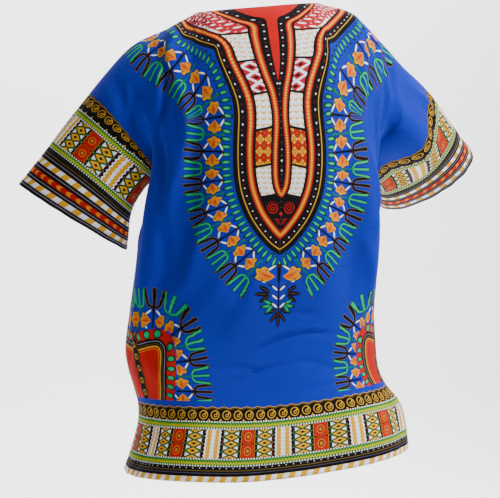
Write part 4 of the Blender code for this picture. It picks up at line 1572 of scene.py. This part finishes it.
def draw_side(ink):
    """The side print within its ring of blossoms."""
    arch, _, _ = ink.field("bands")
    leaf_on, leaf_off, _ = ink.field("leaves")
    _, _, aside = ink.field("ring")
    _, up, _ = ink.field("cut")
    ink.shape(arch - 0.0268, "dark_red", 0.0005)
    ink.shape(arch - 0.0260, "red", 0.0005)
    row = ink.place(ink.repeat(leaf_on, LEAF_REPEAT), leaf_off)
    leaf = ink.oval(row, 0.0, 0.0, 0.0021, 0.0054)
    ink.shape(leaf, "mint", 0.0006, 0.0009, "black")
    ink.shape(arch - 0.0118, "black", 0.0005)
    ink.line(arch - 0.0078, 0.0006, "grey")
    ink.line(arch - 0.0038, 0.0004, "dark_gold")
    ink.shape(arch - 0.0010, "gold", 0.0005)
    ink.shape(arch + 0.0012, "red", 0.0005)
    ink.line(arch + 0.0040, 0.0004, "amber", 0.0006)
    trunk = ink.size(aside) - 0.0088 - ink.math("SINE", up * 340.0) * 0.0012
    ink.shape(trunk, "black", 0.0005)
    ink.line(trunk + 0.0022, 0.0004, "dark_gold", 0.0005)
    bead = ink.far(aside, ink.repeat(up, 0.0185) * 0.8)
    ink.line(bead - 0.0032, 0.0006, "gold", 0.0005)


DRAW = {
    "neck": draw_neck,
    "ring": draw_ring,
    "hem": draw_hem,
    "cuff": draw_cuff,
    "side": draw_side,
    "tip": draw_tip,
}


# The look laid over the print
CLOUD_SCALE = 9.0            # of the uneven dye
CLOUD_GAIN = (0.55, -0.18)   # how much of the cloud darkens the dye, and from where
CLOUD_BLACK = 0.65           # how far it darkens towards black
SLUB_STRETCH = (60.0, 60.0, 900.0)
THREAD_GAIN = (0.014, 0.03, 0.013)   # paler threads: by the weave, by the slubs, and less this
INSIDE_PALE = 0.38           # how far the inside shows paler, and its colour
INSIDE_COLOUR = "a9a4ac"
FUZZ_SCALE = 1800.0          # of the sewing thread, with how far it shows and its colour
FUZZ_GAIN = 0.35
FUZZ_COLOUR = "3f5fb8"
CLOTH_LOOK = {
    "Roughness": 0.82,
    "Specular IOR Level": 0.08,
    "Sheen Weight": 0.02,
    "Sheen Roughness": 0.45,
}
THREAD_LOOK = {"Roughness": 0.6, "Sheen Weight": 0.1}


def dyes():
    """Every dye of the print, the main ones as the panel in the sidebar sets them."""
    found = {name: hexed(code) for name, code in DYES.items()}
    chosen = bpy.context.scene.shirt_dyes
    for name in ("blue", "black", "gold", "yellow", "orange", "red", "mint", "white"):
        found[name] = tuple(getattr(chosen, name))
    return found


def weave_and_wear(ink):
    """Threads, uneven dye and the paler inside, over the print."""
    across, up, layer = ink.field("cut")
    spot = ink.node("TexCoord").outputs["Object"]
    cloud = ink.math(
        "MULTIPLY_ADD", ink.noise(spot, CLOUD_SCALE, Detail=3.0), *CLOUD_GAIN, clamp=True
    )
    ink.lay(cloud, ink.either(CLOUD_BLACK, ink.dye["black"], ink.colour))
    repeats = 2 * math.pi / bpy.context.scene.shirt_cloth.weave
    over = ink.math("SINE", across * repeats) * ink.math("SINE", up * repeats)
    stretch = ink.node("Mapping")
    ink.put(stretch.inputs["Vector"], spot)
    stretch.inputs["Scale"].default_value = SLUB_STRETCH
    slub = ink.noise(stretch.outputs[0], 1.0, Detail=2.0)
    by_weave, by_slub, less = THREAD_GAIN
    ink.lay(ink.math("MULTIPLY_ADD", over, by_weave, slub * by_slub - less, clamp=True), "white")
    ink.lay(layer * INSIDE_PALE, hexed(INSIDE_COLOUR))
    bump = ink.node("Bump")
    set_inputs(bump, {"Strength": 0.35, "Distance": 0.0004})
    ink.put(bump.inputs["Height"], ink.math("MULTIPLY_ADD", over, 0.5, slub))
    ink.put(ink.finish(CLOTH_LOOK).inputs["Normal"], bump.outputs[0])


def cotton(region):
    """The printed cotton of one part of the print."""
    name = "cotton_" + region
    if name in bpy.data.materials:
        return bpy.data.materials[name]
    dye = dyes()
    ink = Ink(name, dye["blue"], dye)
    if region in DRAW:
        DRAW[region](ink)
    weave_and_wear(ink)
    return ink.material


def cotton_thread():
    """The dark blue sewing thread."""
    ink = Ink("sewing_thread", tuple(bpy.context.scene.shirt_stitches.colour), dyes())
    spot = ink.node("TexCoord").outputs["Object"]
    ink.lay(ink.noise(spot, FUZZ_SCALE) * FUZZ_GAIN, hexed(FUZZ_COLOUR))
    ink.finish(THREAD_LOOK)
    return ink.material


FORM = {}


def worn_form():
    """Both panels' fine surfaces, laid out once."""
    if not FORM:
        panels = [Panel("back"), Panel("front")]
        raise_folds(panels)
        halves = [finer(panel) for panel in panels]
        share_seams(halves)
        for panel, both in zip(panels, halves):
            FORM[panel.name] = Cloth(panel.name, both)
    return FORM


def put_in_scene(name, data):
    """A new object for a mesh, lamp or camera, at the origin."""
    made = bpy.data.objects.new(name, data)
    bpy.context.scene.collection.objects.link(made)
    return made


def smooth_mesh(name, points, faces):
    """A new mesh with smooth shading, from an array of points and a list of faces."""
    mesh = bpy.data.meshes.new(name)
    mesh.from_pydata(points.tolist(), [], faces)
    mesh.update()
    mesh.shade_smooth()
    return mesh


def add_cloth(name):
    """Adds one panel as a closed thin sheet in the printed cotton."""
    cloth = worn_form()[name]
    points, faces, regions = cloth.shell()
    mesh = smooth_mesh(name + "_cloth", points, faces.tolist())
    for field, values in cloth.fields.items():
        both = np.concatenate([values, values])
        if field == "cut":
            both[len(values) :, 2] = 1.0
        kept = mesh.attributes.new(name=field, type="FLOAT_VECTOR", domain="POINT")
        kept.data.foreach_set("vector", both.astype(np.float32).ravel())
    for region in REGIONS:
        mesh.materials.append(cotton(region))
    mesh.polygons.foreach_set("material_index", regions.astype(np.int32))
    shirt = put_in_scene(name + "_cloth", mesh)
    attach(shirt, "root")
    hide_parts(name + "_panel")
    return shirt


def sewing_lines():
    """The lines that are stitched, each as its cloth and its points' numbers."""
    lines = []
    for cloth in worn_form().values():
        for number in cloth.numbers:
            last = cloth.body
            lines.append((cloth, number[-4, : last + 1]))
            lines.append((cloth, number[: cloth.under + 1, -4]))
            neck = np.abs(cloth.across[number[0, : last]]) < NECK_HALF - 0.002
            lines.append((cloth, number[1, :last][neck]))
            if cloth.cut_open.any():
                lines.append((cloth, number[cloth.cut_open, 1]))
    return lines


# A stitch's shape: where it bends, as parts of its length from the middle, how its ends taper and
# how many thicknesses they drop, and how far it lies above the cloth
STITCH_BEND = 0.27
STITCH_TAPER = 0.5
STITCH_DROP = 0.6
STITCH_LIFT = 0.0002


def pick(thing, kind, chosen):
    """Goes to edit mode with the vertices or edges selected that lie wholly at chosen places."""
    bpy.ops.object.mode_set(mode="EDIT")
    bpy.ops.mesh.select_mode(type=kind)
    bpy.ops.mesh.select_all(action="DESELECT")
    bpy.ops.object.mode_set(mode="OBJECT")
    vertices = thing.data.vertices
    for part in thing.data.edges if kind == "EDGE" else vertices:
        ends = part.vertices if kind == "EDGE" else [part.index]
        part.select = all(chosen(vertices[end].co) for end in ends)
    bpy.ops.object.mode_set(mode="EDIT")


def model_stitch():
    """One stitch, lying along X with its ends pulled down into the cloth."""
    kept = bpy.context.scene.shirt_stitches
    bpy.ops.object.select_all(action="DESELECT")
    bpy.ops.mesh.primitive_cylinder_add(
        vertices=6, radius=kept.thickness / 2, depth=kept.length, rotation=(0, math.pi / 2, 0)
    )
    stitch = bpy.context.active_object
    bpy.ops.object.transform_apply(location=True, rotation=True, scale=True)
    bpy.ops.object.mode_set(mode="EDIT")
    for place in (-STITCH_BEND, STITCH_BEND):
        bpy.ops.mesh.select_all(action="SELECT")
        bpy.ops.mesh.bisect(plane_co=(place * kept.length, 0, 0), plane_no=(1, 0, 0))
    for side in (-1, 1):
        pick(stitch, "VERT", lambda place: place.x * side > 0.45 * kept.length)
        end = (side * kept.length / 2, 0, 0)
        bpy.ops.transform.resize(value=(1, STITCH_TAPER, STITCH_TAPER), center_override=end)
        bpy.ops.transform.translate(value=(0, 0, -kept.thickness * STITCH_DROP))
    bpy.ops.object.mode_set(mode="OBJECT")
    return stitch


def spaced(points, unit, gap):
    """Places along a line of points, gap apart, with the line's direction and normal there."""
    steps = np.linalg.norm(np.diff(points, axis=0), axis=1)
    along = np.concatenate([[0.0], np.cumsum(steps)])
    stops = np.arange(gap, along[-1] - gap, gap)

    def read(values, shift=0.0):
        return np.stack([np.interp(stops + shift, along, column) for column in values.T], 1)

    ahead = unit_length(read(points, gap / 3) - read(points, -gap / 3))
    up = read(unit)
    up = unit_length(up - (up * ahead).sum(1, keepdims=True) * ahead)
    return read(points), ahead, up


def add_stitches():
    """Adds every stitch of the hems, cuffs and neckline as one joined mesh."""
    pattern = model_stitch()
    shape = np.array([v.co[:] for v in pattern.data.vertices])
    sides = [list(p.vertices) for p in pattern.data.polygons]
    points, faces = [], []
    for cloth, line in sewing_lines():
        if len(line) < 3:
            continue
        gap = bpy.context.scene.shirt_stitches.spacing
        place, ahead, up = spaced(cloth.points[line], cloth.normal[line], gap)
        beside = np.cross(up, ahead)
        for p, a, s, u in zip(place, ahead, beside, up):
            start = len(points) * len(shape)
            lifted = p + u * STITCH_LIFT
            points.append(lifted + shape[:, :1] * a + shape[:, 1:2] * s + shape[:, 2:] * u)
            faces += [[v + start for v in side] for side in sides]
    mesh = smooth_mesh("stitches", np.concatenate(points), faces)
    mesh.materials.append(cotton_thread())
    bpy.data.objects.remove(pattern)
    stitches = put_in_scene("stitches", mesh)
    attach(stitches, "root")
    return stitches


# The stage: the floor is a square sheet whose far edge turns up into a wall
FLOOR_SIZE = 16.0
FLOOR_SHIFT = 4.0
WALL_HEIGHT = 6.0
WALL_BEND = 1.6
WALL_STEPS = 16
FLOOR_COLOUR = (0.86, 0.86, 0.87)
SKY_COLOUR = (0.97, 0.98, 1.0, 1.0)

# The lamps: place, aim, width and height, the setting that holds its power, and its share of it
LAMPS = {
    "key_lamp": ((-1.55, 1.20, 2.0), (0.0, 0.05, -0.35), (0.7, 0.9), "key_power", 1.0),
    "front_lamp": ((-0.9, -2.4, 1.0), (0.0, 0.0, -0.35), (1.0, 1.0), "key_power", 0.5),
    "backdrop_lamp": ((0.0, -1.4, 2.6), (0.0, -4.0, 0.2), (4.0, 0.8), "backdrop_power", 1.0),
}

# The camera, as worked out from the photo: what it aims at, and its lens in pixels and in mm
CAMERA_AIM = (0.0195, 0.0, -0.39)
PHOTO_FOCUS = 1375.0
PHOTO_WIDTH = 500.0
SENSOR_WIDTH = 36.0


def plain(name, colour, roughness):
    """A plain pale studio surface."""
    material = bpy.data.materials.new(name)
    material.use_nodes = True
    shader = material.node_tree.nodes["Principled BSDF"]
    set_inputs(shader, {"Base Color": (*colour, 1.0), "Roughness": roughness})
    return material


def facing(place, aim):
    """The turn of a lamp or camera at place that looks at aim."""
    return (Vector(aim) - Vector(place)).to_track_quat("-Z", "Y").to_euler()


def add_floor(height):
    """Adds the floor, whose far edge curves up behind the shirt."""
    bpy.ops.object.select_all(action="DESELECT")
    bpy.ops.mesh.primitive_plane_add(size=FLOOR_SIZE, location=(0, FLOOR_SHIFT, height))
    floor = bpy.context.active_object
    floor.name = "floor"
    bpy.ops.object.transform_apply(location=True, rotation=True, scale=True)
    far = FLOOR_SHIFT - FLOOR_SIZE / 2 + 1.0
    pick(floor, "EDGE", lambda place: place.y < far)
    bpy.ops.mesh.extrude_region_move(TRANSFORM_OT_translate={"value": (0, 0, WALL_HEIGHT)})
    pick(floor, "EDGE", lambda place: place.y < far and place.z < height + 0.01)
    bpy.ops.mesh.bevel(offset=WALL_BEND, segments=WALL_STEPS, affect="EDGES")
    bpy.ops.object.mode_set(mode="OBJECT")
    floor.data.shade_smooth()
    floor.data.materials.append(plain("floor_paper", FLOOR_COLOUR, 0.9))


def add_sky(ambient, background):
    """Adds the world: its light from all around, and what the camera sees past the floor."""
    world = bpy.data.worlds.new("studio")
    world.use_nodes = True
    nodes, links = world.node_tree.nodes, world.node_tree.links
    mix = nodes.new("ShaderNodeMixShader")
    links.new(nodes.new("ShaderNodeLightPath").outputs["Is Camera Ray"], mix.inputs[0])
    seen = nodes.new("ShaderNodeBackground")
    for number, (glow, strength) in enumerate(
        ((nodes["Background"], ambient), (seen, background)), start=1
    ):
        set_inputs(glow, {"Color": SKY_COLOUR, "Strength": strength})
        links.new(glow.outputs[0], mix.inputs[number])
    links.new(mix.outputs[0], nodes["World Output"].inputs[0])
    bpy.context.scene.world = world


def add_lamp(name, place, aim, size, power):
    """A soft rectangular lamp that shines towards a point."""
    data = bpy.data.lights.new(name, "AREA")
    data.shape = "RECTANGLE"
    data.size, data.size_y = size
    data.energy = power
    lamp = put_in_scene(name, data)
    lamp.location = place
    lamp.rotation_euler = facing(place, aim)


def add_camera(azimuth, distance):
    """Adds the camera, level with its aim and turned round the shirt by azimuth."""
    data = bpy.data.cameras.new("camera")
    data.sensor_width = SENSOR_WIDTH
    data.lens = PHOTO_FOCUS / PHOTO_WIDTH * SENSOR_WIDTH
    camera = put_in_scene("camera", data)
    aim = Vector(CAMERA_AIM)
    camera.location = aim + Vector((math.sin(azimuth), -math.cos(azimuth), 0.0)) * distance
    camera.rotation_euler = facing(camera.location, aim)
    bpy.context.scene.camera = camera


def add_stage():
    """Adds the floor, the lamps and the camera."""
    kept = bpy.context.scene.shirt_stage
    add_floor(kept.floor)
    add_sky(kept.ambient, kept.background)
    for name, (place, aim, size, power, share) in LAMPS.items():
        add_lamp(name, place, aim, size, getattr(kept, power) * share)
    add_camera(kept.azimuth, kept.distance)


def dye_property(name, about):
    """A colour setting for one dye, named as in DYES."""
    return bpy.props.FloatVectorProperty(
        name=name, description=about, subtype="COLOR", size=3, min=0.0, max=1.0,
        default=hexed(DYES[name.lower()]),
    )


class ShirtDyes(bpy.types.PropertyGroup):
    """The main dyes of the print."""

    blue: dye_property("Blue", "Ground of the cloth")
    black: dye_property("Black", "Outlines and border grounds")
    gold: dye_property("Gold", "Thin lines and ring scrolls")
    yellow: dye_property("Yellow", "Checks and edges of the blossoms")
    orange: dye_property("Orange", "Hearts of the blossoms")
    red: dye_property("Red", "Blocks, flame lines and side print")
    mint: dye_property("Mint", "Leaves and claws")
    white: dye_property("White", "Blocks, dots and small leaves")


class ShirtCloth(bpy.types.PropertyGroup):
    """The cloth of both panels."""

    sheet: bpy.props.FloatProperty(
        name="Thickness", description="Thickness of the cloth", default=0.0009, min=0.0002,
        unit="LENGTH",
    )
    hem: bpy.props.FloatProperty(
        name="Hem thickness", description="Thickness of the folded hems", default=0.0018,
        min=0.0002, unit="LENGTH",
    )
    hem_width: bpy.props.FloatProperty(
        name="Hem width", description="Width of the folded hems", default=0.014, min=0.004,
        unit="LENGTH",
    )
    weave: bpy.props.FloatProperty(
        name="Weave", description="Repeat of the plain weave", default=0.0011, min=0.0002,
        unit="LENGTH",
    )


class ShirtStitches(bpy.types.PropertyGroup):
    """The sewing of hems, cuffs and neckline."""

    length: bpy.props.FloatProperty(
        name="Length", description="Length of one stitch", default=0.0024, min=0.001, unit="LENGTH"
    )
    spacing: bpy.props.FloatProperty(
        name="Spacing", description="From stitch to stitch", default=0.0032, min=0.0015,
        unit="LENGTH",
    )
    thickness: bpy.props.FloatProperty(
        name="Thickness", description="Width of the thread", default=0.0006, min=0.0001,
        unit="LENGTH",
    )
    colour: bpy.props.FloatVectorProperty(
        name="Colour", description="Colour of the thread", subtype="COLOR", size=3, min=0.0,
        max=1.0, default=hexed("16265e"),
    )


class ShirtStage(bpy.types.PropertyGroup):
    """The floor, lamps and camera."""

    floor: bpy.props.FloatProperty(
        name="Floor", description="Height of the floor", default=-1.25, unit="LENGTH"
    )
    ambient: bpy.props.FloatProperty(
        name="Ambient", description="Light from all around", default=0.18, min=0.0
    )
    background: bpy.props.FloatProperty(
        name="Background", description="Brightness of what lies past the floor", default=1.3,
        min=0.0,
    )
    key_power: bpy.props.FloatProperty(
        name="Key power", description="Power of the main lamp", default=200.0, min=0.0, unit="POWER"
    )
    backdrop_power: bpy.props.FloatProperty(
        name="Backdrop power", description="Power of the lamp on the backdrop", default=500.0,
        min=0.0, unit="POWER",
    )
    azimuth: bpy.props.FloatProperty(
        name="Azimuth", description="Camera's turn round the shirt", default=math.radians(170.0),
        subtype="ANGLE",
    )
    distance: bpy.props.FloatProperty(
        name="Distance", description="Camera's distance", default=2.2, min=0.5, unit="LENGTH"
    )


class SHIRT_OT_back(bpy.types.Operator):
    """Add the back panel with its half sleeves"""

    bl_idname = "shirt.add_back"
    bl_label = "Add back panel"

    def execute(self, context):
        add_cloth("back")
        return {"FINISHED"}


class SHIRT_OT_front(bpy.types.Operator):
    """Add the front panel with its half sleeves and neck slit"""

    bl_idname = "shirt.add_front"
    bl_label = "Add front panel"

    def execute(self, context):
        add_cloth("front")
        return {"FINISHED"}


class SHIRT_OT_stitches(bpy.types.Operator):
    """Add the stitches of hems, cuffs and neckline"""

    bl_idname = "shirt.add_stitches"
    bl_label = "Add stitches"

    def execute(self, context):
        add_stitches()
        return {"FINISHED"}


class SHIRT_OT_stage(bpy.types.Operator):
    """Add the floor, lamps and camera"""

    bl_idname = "shirt.add_stage"
    bl_label = "Add stage"

    def execute(self, context):
        add_stage()
        return {"FINISHED"}


class SHIRT_PT_panel(bpy.types.Panel):
    """The shirt's pieces and settings"""

    bl_label = "Dashiki shirt"
    bl_idname = "SHIRT_PT_panel"
    bl_space_type = "VIEW_3D"
    bl_region_type = "UI"
    bl_category = "Shirt"

    def draw(self, context):
        for piece in ("back", "front", "stitches", "stage"):
            self.layout.operator("shirt.add_" + piece)
        for group in GROUPS:
            kept = getattr(context.scene, group)
            for name in kept.bl_rna.properties.keys():
                if name not in ("rna_type", "name"):
                    self.layout.prop(kept, name)


CLASSES = (
    ShirtDyes,
    ShirtCloth,
    ShirtStitches,
    ShirtStage,
    SHIRT_OT_back,
    SHIRT_OT_front,
    SHIRT_OT_stitches,
    SHIRT_OT_stage,
    SHIRT_PT_panel,
)


GROUPS = {
    "shirt_dyes": ShirtDyes,
    "shirt_cloth": ShirtCloth,
    "shirt_stitches": ShirtStitches,
    "shirt_stage": ShirtStage,
}


def register():
    for made in CLASSES:
        bpy.utils.register_class(made)
    for name, group in GROUPS.items():
        setattr(bpy.types.Scene, name, bpy.props.PointerProperty(type=group))


def unregister():
    for name in GROUPS:
        delattr(bpy.types.Scene, name)
    for made in reversed(CLASSES):
        bpy.utils.unregister_class(made)


def main():
    register()
    bpy.ops.shirt.add_back()
    bpy.ops.shirt.add_front()
    bpy.ops.shirt.add_stitches()
    bpy.ops.shirt.add_stage()
    bpy.context.view_layer.update()


if __name__ == "__main__":
    main()
